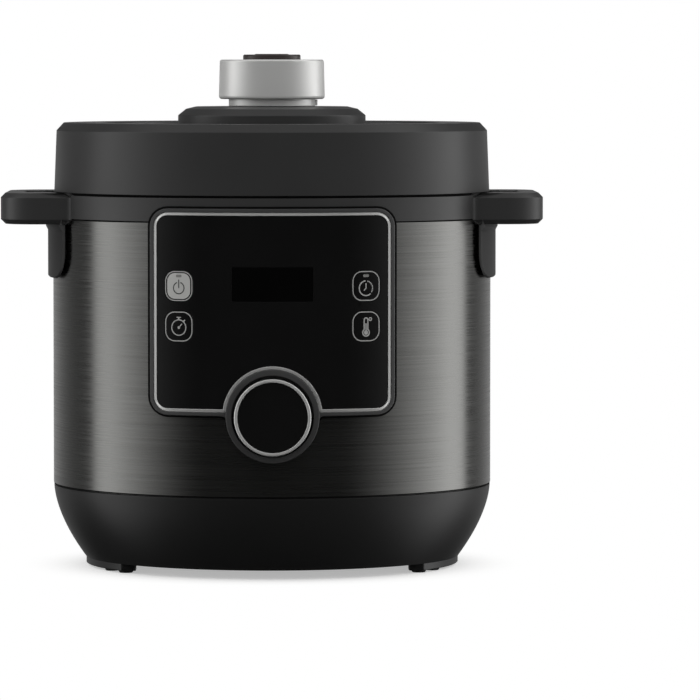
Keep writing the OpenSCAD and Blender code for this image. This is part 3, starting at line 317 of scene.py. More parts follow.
# %% Bend a front view round the body
def wrapped(bm, strip=3.0, shift=0.013):
    """Bends a plate drawn as (x, z, distance from the axis) round the vertical axis, facing -Y.

    The slices lie a little off whole strips, so that none runs through an outline's corners.
    """
    low = min(v.co.x for v in bm.verts)
    high = max(v.co.x for v in bm.verts)
    x = math.ceil(low / strip) * strip + shift
    while x < high:
        geometry = bm.verts[:] + bm.edges[:] + bm.faces[:]
        bmesh.ops.bisect_plane(bm, geom=geometry, plane_co=(x, 0, 0), plane_no=(1, 0, 0))
        x += strip
    for v in bm.verts:
        x, z, d = v.co
        v.co = (x, -math.sqrt(d * d - x * x), z)
    return outward(bm)


def radial_normals(mesh, limit=0.97):
    """Gives faces that follow a cylinder about Z the cylinder's own normals."""
    normals = [tuple(c.vector) for c in mesh.corner_normals]
    for face in mesh.polygons:
        out = Vector((face.center.x, face.center.y, 0)).normalized()
        if abs(face.normal.dot(out)) > limit:
            side = math.copysign(1, face.normal.dot(out))
            for corner in face.loop_indices:
                place = mesh.vertices[mesh.loops[corner].vertex_index].co
                normals[corner] = tuple(Vector((place.x, place.y, 0)).normalized() * side)
    mesh.normals_split_custom_set(normals)


bent_back = FASCIA_R - math.sqrt(FASCIA_R ** 2 - 30 ** 2)
print("a 60 mm wide plate bends", round(bent_back, 2), "mm back at its ends")

# %% [markdown]
# ## Finishing a part
# A finished part is a plain mesh in metres at the origin. Edges sharper than a given
# angle stay crisp and the rest is smooth. Weighted normals keep the flat faces flat, so
# that only the small arcs turn the light. Then the part is tied to the CAD body that it
# moves with, and to the CAD nodes that it stands for.

# %% Finish a part
def bake(obj):
    """Replaces an object's mesh by the result of its modifiers, and removes them."""
    mesh = bpy.data.meshes.new_from_object(obj.evaluated_get(bpy.context.evaluated_depsgraph_get()))
    old, obj.data = obj.data, mesh
    obj.modifiers.clear()
    bpy.data.meshes.remove(old)
    return obj


def solid(name, bm):
    """A mesh object in metres from a bmesh in millimetres."""
    bmesh.ops.scale(bm, vec=(MM, MM, MM), verts=bm.verts)
    mesh = bpy.data.meshes.new(name)
    bm.to_mesh(mesh)
    bm.free()
    obj = bpy.data.objects.new(name, mesh)
    bpy.context.scene.collection.objects.link(obj)
    return obj


def cut(obj, *cutters, operation="DIFFERENCE"):
    """Cuts bmeshes in millimetres out of an object, or keeps what they share."""
    for k, bm in enumerate(cutters):
        tool = solid(f"cutter{k}", bm)
        change = obj.modifiers.new("cut", "BOOLEAN")
        change.operation, change.solver, change.object = operation, "EXACT", tool
        bake(obj)
        bpy.data.objects.remove(tool)
    return obj


def hollowed(bm, *cutters):
    """A bmesh in millimetres with other bmeshes cut out of it."""
    obj = cut(solid("hollowed", bm), *cutters)
    kept = bmesh.new()
    kept.from_mesh(obj.data)
    bmesh.ops.scale(kept, vec=(1 / MM, 1 / MM, 1 / MM), verts=kept.verts)
    bpy.data.objects.remove(obj)
    return kept


def finish(obj, finish_of, body, *nodes, slot=None, sharp=32, radial=False):
    """Smooths a part, gives it its material and ties it to its body and the nodes it stands for."""
    mesh = obj.data
    mesh.polygons.foreach_set("use_smooth", [True] * len(mesh.polygons))
    mesh.set_sharp_from_angle(angle=math.radians(sharp))
    weigh = obj.modifiers.new("weigh", "WEIGHTED_NORMAL")
    weigh.keep_sharp, weigh.weight = True, 60
    bake(obj)
    obj.data.name = obj.name
    if radial:
        radial_normals(obj.data)
    obj.data.materials.clear()
    obj.data.materials.append(finish_of)
    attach(obj, body)
    if nodes:
        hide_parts(*nodes)
    slot or finish_of.name
    print(f"{obj.name}: {len(obj.data.polygons)} faces")
    return obj


def part(name, bm, finish_of, body, *nodes, **how):
    """A finished part straight from a bmesh in millimetres."""
    return finish(solid(name, bm), finish_of, body, *nodes, **how)


print("parts are finished by one function")

# %% [markdown]
# ## Finishes
# Each finish starts from what the real one is and how it was made. The patterns are set in
# real millimetres: a noise texture whose scale is 1000 / size repeats about every `size`
# millimetres, because Object coordinates are in metres. Constants such as metalness or
# anisotropy sit on the shader itself, so that they survive an export.

# %% Texture steps
def mottle(tree, place, size, stretch=(1, 1, 1), detail=3.0, rough=0.55):
    """A noise of about size millimetres, from 0 to 1. stretch above 1 packs it closer along that axis."""
    mapped = add(tree, "ShaderNodeMapping", {"Vector": place, "Scale": stretch}).outputs[0]
    noise = {"Vector": mapped, "Scale": 1000 / size, "Detail": detail, "Roughness": rough}
    return add(tree, "ShaderNodeTexNoise", noise).outputs["Fac"]


def span(tree, value, low, high, start=0.3, end=0.7):
    """Maps a value's start..end to low..high."""
    limits = {"Value": value, "From Min": start, "From Max": end, "To Min": low, "To Max": high}
    return add(tree, "ShaderNodeMapRange", limits, clamp=False).outputs[0]


def blend(tree, value, first, second):
    """Mixes two hex colours by a value from 0 to 1."""
    node = add(tree, "ShaderNodeMix", {"Factor": value}, data_type="RGBA")
    node.inputs[6].default_value, node.inputs[7].default_value = linear(first), linear(second)
    return node.outputs[2]


def raised(tree, height, depth):
    """A bump of that depth in millimetres."""
    return add(tree, "ShaderNodeBump", {"Height": height, "Distance": depth * MM, "Strength": 1.0}).outputs[0]


FINISHES = {}


def surface(name, steps, **constants):
    """A material. steps(tree, place) gives the sockets that vary; constants stay on the shader."""
    made = bpy.data.materials.new(name)
    made.use_nodes = True
    tree = made.node_tree
    tree.nodes.clear()
    place = add(tree, "ShaderNodeTexCoord").outputs["Object"]
    values = {key.replace("_", " "): value for key, value in constants.items()}
    values.update(steps(tree, place))
    shader = add(tree, "ShaderNodeBsdfPrincipled", values)
    add(tree, "ShaderNodeOutputMaterial", {"Surface": shader.outputs[0]})
    FINISHES[name] = made
    return made


print("texture steps are ready")

# %% [markdown]
# ### Moulded plastics
# The lid, rim, handles and base are injection-moulded ABS from a finely eroded mould. Such
# a skin is dark and even in colour, satin in gloss, and has a grain of a few tenths of a
# millimetre that only shows where light grazes it. The grain lifts a very shallow bump, and
# a broad, slow noise varies colour and roughness a little. Near-black rings paint shade into
# the seams, where a gap between two mouldings shows as a line with no light in it.

# %% Moulded plastics
def moulded(dark, light, grain, depth, gloss, gloss_high):
    """Steps for a moulded plastic: two close colours, a grain size and depth, and a roughness range."""
    def steps(tree, place):
        broad = mottle(tree, place, 45, detail=1)
        fine = mottle(tree, place, grain, detail=2)
        return {"Base Color": blend(tree, broad, dark, light), "Normal": raised(tree, fine, depth),
                "Roughness": span(tree, broad, gloss, gloss_high)}
    return steps


satin_black = surface("satin_black_abs", moulded("#323232", "#373737", 0.35, 0.003, 0.35, 0.40), IOR=1.5)
rim_black = surface("satin_black_rim_abs", moulded("#363636", "#3b3b3b", 0.35, 0.003, 0.35, 0.40), IOR=1.5)
base_black = surface("satin_black_base_abs", moulded("#191919", "#1d1d1d", 0.35, 0.003, 0.36, 0.42), IOR=1.5)
shield_black = surface("satin_black_shield_abs", moulded("#1b1b1b", "#1f1f1f", 0.35, 0.003, 0.42, 0.48),
                       IOR=1.45)
# painted shade: a near-black finish for rings that stand in for the shade in seams and gaps
painted_shade_black = surface("seam_shadow_foam", moulded("#050505", "#070707", 0.6, 0.02, 0.85, 0.95), IOR=1.3)
frame_grey = surface("satin_grey_abs", moulded("#3e3e3e", "#444444", 0.35, 0.003, 0.36, 0.42))
button_brown = surface("dark_brown_abs", moulded("#332c2a", "#3a3230", 0.4, 0.003, 0.30, 0.36))
rubber = surface("moulded_rubber", moulded("#1b1b1c", "#222223", 0.5, 0.02, 0.72, 0.82))
# painted shade: a near-black finish for the core under each shield, whose edge shows as shade
painted_edge_shade = surface("shield_liner_foam", moulded("#222222", "#292929", 0.6, 0.02, 0.80, 0.90))
pointer_white = surface("white_pointer_abs", moulded("#dededc", "#e6e6e4", 0.4, 0.003, 0.36, 0.42))
ceramic_white = surface("glazed_ceramic", moulded("#e2ddd0", "#ebe6da", 1.2, 0.01, 0.25, 0.35))
component_grey = surface("component_epoxy", moulded("#2c3036", "#363a41", 0.8, 0.02, 0.50, 0.62))
float_red = surface("float_pin_silicone_red", moulded("#8f2a26", "#9c322c", 0.8, 0.01, 0.42, 0.50))
print(len(FINISHES), "plastic finishes")

# %% [markdown]
# ### Gloss panel, display and printed symbols
# The fascia is clear-fronted acrylic backed with black: nearly all that shows is its
# mirror-like surface reflection, with a faint orange peel from moulding. The display
# window is the same sheet over a smoky film. Symbols are screen-printed ink, slightly matt.

# %% Panel finishes
def acrylic(dark, light):
    """Steps for a gloss sheet: two close colours, near-mirror gloss and a faint orange peel."""
    def steps(tree, place):
        peel = mottle(tree, place, 9, detail=1)
        haze = mottle(tree, place, 30, detail=2)
        return {"Base Color": blend(tree, haze, dark, light), "Roughness": span(tree, haze, 0.045, 0.075),
                "Normal": raised(tree, peel, 0.0015)}
    return steps


gloss_black = surface("gloss_black_acrylic", acrylic("#0f0f0f", "#141414"), IOR=1.49)
display_black = surface("smoked_display_window", acrylic("#020202", "#040404"), IOR=1.49)
gloss_key = surface("gloss_black_key", acrylic("#0d0d0d", "#121212"), IOR=1.49)


def printed(dark, light):
    """Steps for screen-print ink."""
    def steps(tree, place):
        speck = mottle(tree, place, 0.5, detail=2)
        return {"Base Color": blend(tree, speck, dark, light), "Roughness": span(tree, speck, 0.42, 0.55)}
    return steps


ink_grey = surface("screen_print_grey", printed("#a8a8a6", "#b4b4b2"))
ink_dim = surface("unlit_led_grey", printed("#7c7c79", "#868683"))
ink_dark = surface("screen_print_dark", printed("#202020", "#282828"))


def silver_paint(tree, place):
    """Silver paint with a fine flake."""
    flake = mottle(tree, place, 0.25, detail=1)
    broad = mottle(tree, place, 8, detail=1)
    return {"Base Color": blend(tree, flake, "#c0c0bd", "#cececb"),
            "Roughness": span(tree, broad, 0.30, 0.38)}


key_silver = surface("silver_painted_key", silver_paint, Metallic=0.2)
print(len(FINISHES), "finishes so far")

# %% [markdown]
# ### Brushed black stainless steel
# The skin is stainless sheet with a dark oxide or film, brushed along its length before it
# is rolled into a tube. The brushing leaves fine lines that run round the body, 0.2 to
# 1 mm apart. They blur reflections up and down but hardly sideways, so an upright lamp
# shows as a band with a crisp side. Anisotropy gives that blur, and a noise stretched
# round the body gives the lines. Metals keep the default IOR.

# %% Brushed metals
def brushed(dark, light, line, depth, gloss, gloss_high, stretch=(0.006, 0.006, 1)):
    """Steps for sheet brushed round the Z axis, with lines about that many millimetres apart."""
    def steps(tree, place):
        fine = mottle(tree, place, line, stretch, detail=2, rough=0.6)
        turn = add(tree, "ShaderNodeTangent", direction_type="RADIAL", axis="Z").outputs[0]
        return {"Base Color": blend(tree, span(tree, fine, 0, 1, 0.25, 0.75), dark, light), "Tangent": turn,
                "Roughness": span(tree, fine, gloss, gloss_high), "Normal": raised(tree, fine, depth)}
    return steps


black_steel = surface("brushed_black_stainless", brushed("#777775", "#888886", 0.8, 0.0004, 0.23, 0.37),
                      Metallic=1.0, Anisotropic=0.8, Anisotropic_Rotation=0.25)
spun_steel = surface("spun_stainless", brushed("#b4b4b0", "#c8c8c4", 0.5, 0.001, 0.22, 0.32, (1, 1, 1)),
                     Metallic=1.0, Anisotropic=0.3)
print("the skin's lines are about 1 mm apart, wide enough to show at this size")

# %% [markdown]
# ### Other metals
# The knob is silver-lacquered, with a satin shell like fine metallic car paint. The trim
# line and dial ring are satin-chromed plastic. The heating plate is sand-cast aluminium:
# duller and grainy. The bowl is aluminium with a baked non-stick coat that has a fine
# mineral fleck.

# %% Other metals
def satin_metal(dark, light, grain, depth, gloss, gloss_high):
    """Steps for a metal without a direction: two close colours, grain and a roughness range."""
    def steps(tree, place):
        fine = mottle(tree, place, grain, detail=2)
        broad = mottle(tree, place, 25, detail=1)
        return {"Base Color": blend(tree, fine, dark, light), "Normal": raised(tree, fine, depth),
                "Roughness": span(tree, broad, gloss, gloss_high)}
    return steps


knob_silver = surface("satin_silver_lacquer", satin_metal("#f2f2f0", "#f8f8f6", 0.25, 0.0006, 0.38, 0.44),
                      Metallic=0.55)
trim_chrome = surface("satin_chrome", satin_metal("#f3f3f1", "#f8f8f6", 0.4, 0.0002, 0.22, 0.27),
                      Metallic=0.62)
bright_steel = surface("stamped_steel", satin_metal("#b0b0ad", "#c4c4c1", 1.5, 0.002, 0.28, 0.40),
                       Metallic=1.0)
cast_aluminium = surface("sand_cast_aluminium", satin_metal("#8f908e", "#a8a9a6", 1.2, 0.03, 0.42, 0.56),
                         Metallic=1.0)
brass = surface("turned_brass", satin_metal("#b8923f", "#c9a552", 1.0, 0.002, 0.25, 0.35), Metallic=1.0)


def baked_coat(tree, place):
    """A dark coat with a mineral fleck every 1.6 mm or so."""
    cells = {"Vector": place, "Scale": 1000 / 1.6, "Randomness": 1.0}
    fleck = add(tree, "ShaderNodeTexVoronoi", cells).outputs["Distance"]
    fine = mottle(tree, place, 0.5, detail=3)
    return {"Base Color": blend(tree, span(tree, fleck, 1, 0, 0.05, 0.22), "#2b2c2e", "#6f7072"),
            "Roughness": span(tree, fine, 0.34, 0.46), "Normal": raised(tree, fine, 0.006)}


nonstick = surface("flecked_nonstick_coat", baked_coat, Coat_Weight=0.25, Coat_Roughness=0.2)
print(len(FINISHES), "finishes so far")

# %% [markdown]
# ### Soft, clear and electronic finishes
# The gasket is platinum silicone: milky, slightly see-through and matt. The condensate cup
# is smoky polycarbonate. Circuit boards are green solder mask over woven glass cloth,
# whose threads, a little over 1 mm apart, just show.

# %% Soft, clear and electronic finishes
THREAD_GAP = 1.1838
WAVE_LENGTH = 314.16


def milky(tree, place):
    """Milky silicone."""
    fine = mottle(tree, place, 0.8, detail=2)
    return {"Base Color": blend(tree, fine, "#c9c8c1", "#d6d5ce"), "Roughness": span(tree, fine, 0.42, 0.54),
            "Normal": raised(tree, fine, 0.006)}


def smoky(tree, place):
    """Clear smoky plastic."""
    fine = mottle(tree, place, 12, detail=1)
    return {"Base Color": blend(tree, fine, "#3f4448", "#4b5055"), "Roughness": span(tree, fine, 0.10, 0.16)}


def solder_mask(tree, place):
    """Green lacquer over crossing threads. At scale 1 a wave texture repeats every WAVE_LENGTH mm."""
    threads = {"Vector": place, "Scale": WAVE_LENGTH / THREAD_GAP}
    weave = [add(tree, "ShaderNodeTexWave", threads, bands_direction=way).outputs["Fac"] for way in "XY"]
    cloth = add(tree, "ShaderNodeMath", {0: weave[0], 1: weave[1]}, operation="MULTIPLY").outputs[0]
    return {"Base Color": blend(tree, cloth, "#1b5230", "#236339"), "Normal": raised(tree, cloth, 0.01),
            "Roughness": span(tree, cloth, 0.28, 0.40, 0, 1)}


silicone = surface("milky_silicone", milky, Subsurface_Weight=0.3, Subsurface_Radius=(0.004, 0.004, 0.003),
                   Subsurface_Scale=1.0)
cup_smoke = surface("smoky_polycarbonate", smoky, Transmission_Weight=0.7, IOR=1.58)
circuit_green = surface("green_solder_mask", solder_mask)
print(len(FINISHES), "finishes in all")

# %% [markdown]
# ## The parts that keep their CAD mesh
# Parts inside the body are right as the CAD model has them. Each record slot names a
# finish, and every node gets it first. Parts that are replaced later are simply hidden.

# %% Give every CAD node its finish
SLOTS = {"satin_black": satin_black, "frame_grey": frame_grey, "black_steel": black_steel,
         "gloss_black": gloss_black, "display_black": display_black, "key_silver": key_silver,
         "trim_chrome": trim_chrome, "knob_aluminium": knob_silver, "button_brown": button_brown,
         "rubber": rubber, "silicone": silicone, "steel": bright_steel,
         "cast_aluminium": cast_aluminium, "nonstick": nonstick,
         "circuit_green": circuit_green, "component_grey": component_grey, "ceramic_white": ceramic_white,
         "brass": brass, "float_red": float_red, "cup_smoke": cup_smoke}
for node in frame["nodes"].values():
    for slot in node.material_slots:
        named = slot.material.name.split(".")[0] if slot.material else ""
        slot.material = SLOTS.get(named, bright_steel)
print(len(frame["nodes"]), "CAD nodes have a finish")

# %% [markdown]
# ## Geometry Nodes for rules and repeats
# A node tree suits what follows a rule: the bowl of the base is one formula, springs are
# spirals, and pads, screws and hooks repeat round the axis. Each tree is built here with
# named inputs, run once, and turned into a plain mesh.

# %% Run a node tree once
KINDS = {int: "NodeSocketInt", float: "NodeSocketFloat", bpy.types.Object: "NodeSocketObject"}


def grown(name, finish_of, build, **inputs):
    """The mesh that a tree makes. build(tree, sockets) gives its geometry.

    A _ in an input's name reads as a space.
    """
    tree = bpy.data.node_groups.new(name, "GeometryNodeTree")
    tree.interface.new_socket("Geometry", in_out="OUTPUT", socket_type="NodeSocketGeometry")
    keys = {}
    for label, value in inputs.items():
        words, kind = label.replace("_", " "), KINDS[type(value)]
        keys[label] = tree.interface.new_socket(words, in_out="INPUT", socket_type=kind).identifier
    start = add(tree, "NodeGroupInput")
    sockets = {label: next(s for s in start.outputs if s.identifier == key) for label, key in keys.items()}
    real = add(tree, "GeometryNodeRealizeInstances", {0: build(tree, sockets)})
    painted = add(tree, "GeometryNodeSetMaterial", {"Geometry": real.outputs[0], "Material": finish_of})
    add(tree, "NodeGroupOutput", {0: painted.outputs[0]})
    obj = bpy.data.objects.new(name, bpy.data.meshes.new(name))
    bpy.context.scene.collection.objects.link(obj)
    run = obj.modifiers.new(name, "NODES")
    run.node_group = tree
    for label, value in inputs.items():
        run[keys[label]] = value
    bake(obj)
    print(f"{name}: the tree made {len(obj.data.polygons)} faces")
    return obj


def sums(tree):
    """A short way to write arithmetic on sockets of that tree."""
    def work(operation, a, b=0.0, c=0.0):
        return add(tree, "ShaderNodeMath", {0: a, 1: b, 2: c}, operation=operation).outputs[0]
    return work


def placed(tree, x, y, z):
    """A position or rotation from three sockets or numbers."""
    return add(tree, "ShaderNodeCombineXYZ", {0: x, 1: y, 2: z}).outputs[0]


def on_circle(tree, r, angle, z):
    """The position at that radius, angle and height about Z."""
    work = sums(tree)
    x, y = work("MULTIPLY", r, work("COSINE", angle)), work("MULTIPLY", r, work("SINE", angle))
    return placed(tree, x, y, z)


def copies(tree, count, position, rotation, source):
    """Instances of an object on that many points; position and rotation may use the point's index."""
    points = add(tree, "GeometryNodePoints", {"Count": count, "Position": position}).outputs[0]
    shape = add(tree, "GeometryNodeObjectInfo", {"Object": source}).outputs["Geometry"]
    spread = {"Points": points, "Instance": shape, "Rotation": rotation}
    return add(tree, "GeometryNodeInstanceOnPoints", spread).outputs[0]


print("node trees are built, run and baked by one function")

# %% [markdown]
# ## The base
# On the real cooker the base is one moulding: a bowl whose side falls in by a power curve,
# four foot blocks with rubber pads, and a pocket at the back for the mains inlet.
# The bowl's two walls are one grid that a tree bends into shape. Rows crowd together
# towards the top, where a small quarter-round meets the steel and leaves a dark seam, which
# a near-black ring in the skin's step deepens with painted shade.

# %% The bowl of the base, by its rule
SEAM_GAP, BOWL_EDGE, BOWL_FLOOR = 0.15, 0.9, 4.6
MERGE = 0.002


def bowl_rule(tree, size):
    """Bends a grid into a bowl: its rows climb the outside, then go down the inside."""
    work = sums(tree)
    rows, top, foot_z = size["Rows"], size["Top_height"], size["Low_height"]
    across, up = work("ADD", size["Segments"], 1.0), work("MULTIPLY_ADD", rows, 2.0, 3.0)
    grid = {"Size X": 1.0, "Size Y": 1.0, "Vertices X": across, "Vertices Y": up}
    sheet = add(tree, "GeometryNodeMeshGrid", grid).outputs["Mesh"]
    at = add(tree, "ShaderNodeSeparateXYZ", {0: add(tree, "GeometryNodeInputPosition").outputs[0]})
    angle = work("MULTIPLY", work("ADD", at.outputs["X"], 0.5), math.tau)
    row = work("MULTIPLY", work("ADD", at.outputs["Y"], 0.5), work("MULTIPLY_ADD", rows, 2.0, 2.0))
    half_way, last = work("ADD", rows, 0.5), work("MULTIPLY_ADD", rows, 2.0, 1.5)
    inner = work("MULTIPLY", work("GREATER_THAN", row, half_way), work("LESS_THAN", row, last))
    outer = work("SUBTRACT", 1.0, inner)
    outer_t = work("MULTIPLY", work("DIVIDE", row, rows), work("LESS_THAN", row, half_way))
    inner_t = work("DIVIDE", work("SUBTRACT", work("MULTIPLY_ADD", rows, 2.0, 1.0), row), rows)
    t = work("ADD", work("MULTIPLY", inner, inner_t), work("MULTIPLY", outer, outer_t))
    to_go = work("SUBTRACT", 1.0, work("MINIMUM", work("MAXIMUM", t, 0.0), 1.0))
    eased = work("SUBTRACT", 1.0, work("POWER", to_go, 2.0))
    start = work("MULTIPLY_ADD", inner, work("SUBTRACT", size["Floor_height"], foot_z), foot_z)
    z = work("MULTIPLY_ADD", eased, work("SUBTRACT", top, start), start)
    fall = work("DIVIDE", work("SUBTRACT", top, z), work("SUBTRACT", top, foot_z))
    above_edge = work("SUBTRACT", z, work("SUBTRACT", top, size["Edge"]))
    edge = work("MAXIMUM", 0.0, work("DIVIDE", above_edge, size["Edge"]))
    quarter_round = work("SQRT", work("SUBTRACT", 1.0, work("MULTIPLY", edge, edge)))
    drop = work("MULTIPLY", size["Edge"], work("SUBTRACT", 1.0, quarter_round))
    taper = work("MULTIPLY", size["Taper"], work("POWER", fall, size["Curve"]))
    r = work("SUBTRACT", size["Top_radius"], taper)
    r = work("SUBTRACT", r, work("MULTIPLY", inner, size["Wall"]))
    r = work("SUBTRACT", r, work("MULTIPLY", outer, drop))
    bent = {"Geometry": sheet, "Position": on_circle(tree, r, angle, z)}
    bent = add(tree, "GeometryNodeSetPosition", bent).outputs[0]
    return add(tree, "GeometryNodeMergeByDistance", {"Geometry": bent, "Distance": MERGE * MM}).outputs[0]


bowl = grown("base_shell_dressed", base_black, bowl_rule, Rows=40, Segments=224,
             Top_radius=BASE_TOP_R * MM, Taper=BASE_TAPER * MM, Curve=BASE_CURVE,
             Top_height=(SEAM_Z - SEAM_GAP) * MM, Low_height=BASE_Z * MM,
             Floor_height=(BASE_Z + BOWL_FLOOR) * MM, Wall=BASE_WALL * MM, Edge=BOWL_EDGE * MM)


def base_r(z):
    """The bowl's outer radius at a height, by the same power curve."""
    return BASE_TOP_R - BASE_TAPER * ((SEAM_Z - z) / (SEAM_Z - BASE_Z)) ** BASE_CURVE


print("radius at the table edge of the bowl:", round(base_r(BASE_Z), 1), "mm")

# %% [markdown]
# The rest of the base is joined on: the floor ring that holds the bottom cover, the foot
# blocks, and the inlet pocket. The pocket is cut through the bowl's wall, and its own walls
# are a block trimmed to the bowl's outside.

# %% Inlet pocket
FRONT = Matrix.Rotation(math.radians(90), 4, "X")
SWAP_Y_AND_Z = Matrix(((1, 0, 0, 0), (0, 0, 1, 0), (0, 1, 0, 0), (0, 0, 0, 1)))
POCKET_HALF_W, POCKET_Z0, POCKET_Z1, POCKET_WALL, POCKET_Y = 22, 16, 44, 2.5, 120.2
INLET_HALF_W, INLET_Z0, INLET_Z1 = 13.7, 20, 40
INSIDE_Y, INLET_CUT_Y, OUTSIDE_Y = 110, 130, 160


def facing_back(outline, y0, y1):
    """A block drawn as (x, z) from the back, from y0 to y1."""
    return outward(turned(plate(outline, levels=straight(y0, y1)), SWAP_Y_AND_Z))


def facing_front(outline, d0, d1):
    """A block drawn as (x, z) from the front, from d0 to d1 before the axis."""
    return turned(plate(outline, levels=straight(d0, d1)), FRONT)


def pocket_outline(grow, corner):
    """The pocket's opening, grown on all sides."""
    half = POCKET_HALF_W + grow
    return box_outline(-half, half, POCKET_Z0 - grow, POCKET_Z1 + grow, corner)


cut(bowl, facing_back(pocket_outline(0, 2), INSIDE_Y, OUTSIDE_Y))
pocket = solid("pocket", facing_back(pocket_outline(POCKET_WALL, 3), POCKET_Y, OUTSIDE_Y))
side_steps = [BASE_Z + (SEAM_Z - BASE_Z) * i / 24 for i in range(25)]
side_line = [(base_r(z), z) for z in side_steps]
cut(pocket, lathe([(0, BASE_Z)] + side_line + [(0, SEAM_Z)], 224), operation="INTERSECT")
inlet_outline = box_outline(-INLET_HALF_W, INLET_HALF_W, INLET_Z0, INLET_Z1, 2)
room_for_plug = facing_back(pocket_outline(0, 2), POCKET_Y + POCKET_WALL, OUTSIDE_Y)
cut(pocket, room_for_plug, facing_back(inlet_outline, INSIDE_Y, INLET_CUT_Y))
print("the inlet pocket is", 2 * POCKET_HALF_W, "mm wide")

# %% Base floor and foot blocks
FLOOR_IN_R, COVER_R, FLOOR_OUT_R, COVER_SEAT_Z = 98, 104.2, 119.5, 8.1
FOOT_IN_R, FOOT_OUT_R, FOOT_Z0, FOOT_Z1, FOOT_EDGE = 106, 119.4, 1.5, 8, 0.8
FLOOR_TOP = BASE_Z + BOWL_FLOOR
floor_section = [(FLOOR_IN_R, COVER_SEAT_Z), (COVER_R, COVER_SEAT_Z), (COVER_R, BASE_Z),
                 (FLOOR_OUT_R, BASE_Z), (FLOOR_OUT_R, FLOOR_TOP), (FLOOR_IN_R, FLOOR_TOP)]
floor_ring = lathe(rounded(floor_section, {2: 0.5, 3: 0.6}), 224)
foot_outline = [(95.22, -72.04), *arc(FOOT_OUT_R, -36.4, -4.6, 16)[1:-1], (119.1, -8.33),
                (105.74, -7.39), *arc(FOOT_IN_R, -5, -35.3, 14)[1:-1], (85.8, -62.24), (85.8, -72.04)]
foot = rounded(foot_outline, {0: 2.2, 16: 1.5, 17: 1.0, 31: 1.0, 32: 1.6})
feet = []
for side_x in (1, -1):
    for side_y in (1, -1):
        block = plate(foot, levels=soft_levels(FOOT_Z0, FOOT_Z1, FOOT_EDGE))
        feet.append(turned(block, Matrix.Diagonal((side_x, side_y, 1, 1))))
extras = solid("extras", joined(floor_ring, *feet))
for other in (pocket, extras):
    base_mesh = bmesh.new()
    base_mesh.from_mesh(bowl.data)
    base_mesh.from_mesh(other.data)
    outward(base_mesh).to_mesh(bowl.data)
    base_mesh.free()
    bpy.data.objects.remove(other)
finish(bowl, base_black, "housing", "base_shell", slot="satin_black")

# %% [markdown]
# Each rubber pad is a small turned disc with two raised rings on its sole for grip. All
# eight are copies of one mesh, two in each quarter, placed by their azimuth from the front.

# %% Foot pads
PAD_RING_R = 112.7


def in_quarters(tree, size):
    """Copies in mirrored quarters: ring radius, first azimuth from the front, and step to the next."""
    work = sums(tree)
    index = add(tree, "GeometryNodeInputIndex").outputs[0]
    per = size["Per_quarter"]
    quarter = work("FLOOR", work("DIVIDE", index, per))
    within = work("SUBTRACT", index, work("MULTIPLY", quarter, per))
    azimuth = work("RADIANS", work("MULTIPLY_ADD", within, size["Step"], size["First_azimuth"]))
    side = work("MULTIPLY_ADD", work("MODULO", quarter, 2.0), 2.0, -1.0)
    end = work("MULTIPLY_ADD", work("FLOOR", work("DIVIDE", quarter, 2.0)), 2.0, -1.0)
    x = work("MULTIPLY", work("MULTIPLY", side, size["Ring_radius"]), work("SINE", azimuth))
    y = work("MULTIPLY", work("MULTIPLY", end, size["Ring_radius"]), work("COSINE", azimuth))
    spot = placed(tree, x, y, size["Height"])
    return copies(tree, work("MULTIPLY", per, 4.0), spot, (0, 0, 0), size["Shape"])


pad_section = [(0, 2.5), (0, 0.35), (1.0, 0.35), (1.2, 0), (1.8, 0), (2.0, 0.35), (2.7, 0.35), (2.9, 0),
               (3.9, 0), (4.5, 0.6), (4.5, 2.5)]
pad = solid("pad_shape", lathe(pad_section, 32))
pads = grown("foot_pads_dressed", rubber, in_quarters, Per_quarter=2, Ring_radius=PAD_RING_R * MM,
             First_azimuth=55.0, Step=9.0, Height=0.0, Shape=pad)
bpy.data.objects.remove(pad)
finish(pads, rubber, "housing", "foot_pads", slot="rubber", sharp=40)

# %% [markdown]
# ## Screws
# Cross-recessed pan-head screws close the bottom cover and hold the pressure plate to the
# lid. One head is turned, its cross is cut once, and trees place the copies.

# %% Screws
CROSS_HALF_L, CROSS_HALF_W, CROSS_DEPTH = 1.5, 0.32, 0.9
BOTTOM_SCREW_RING_R, BOTTOM_SCREW_SINK, LID_SCREW_Z = 101, 0.2, 250


def screw_shape(length, head_r=3.0, head_h=1.6, shank_r=1.4):
    """A screw pointing up, its head below, with its seat at height 0."""
    section = [(0, -head_h), (head_r * 0.55, -head_h), (head_r * 0.9, -head_h * 0.72),
               (head_r, -head_h * 0.3), (head_r, 0), (shank_r, 0), (shank_r, length - 1), (0.2, length),
               (0, length)]
    head = solid("screw_shape", lathe(section, 28))
    bar = box_outline(-CROSS_HALF_L, CROSS_HALF_L, -CROSS_HALF_W, CROSS_HALF_W)
    for turn_by in (0, 90):
        blade = plate(bar, levels=straight(-head_h - 1, -head_h + CROSS_DEPTH))
        cut(head, turned(blade, Matrix.Rotation(math.radians(turn_by), 4, "Z")))
    return head


def round_axis(tree, size):
    """Copies on a ring about Z, each turned with its angle."""
    work = sums(tree)
    index = add(tree, "GeometryNodeInputIndex").outputs[0]
    step = work("DIVIDE", 360.0, size["Count"])
    angle = work("RADIANS", work("MULTIPLY_ADD", index, step, size["Start_angle"]))
    spot = on_circle(tree, size["Ring_radius"], angle, size["Height"])
    return copies(tree, size["Count"], spot, placed(tree, 0.0, 0.0, angle), size["Shape"])


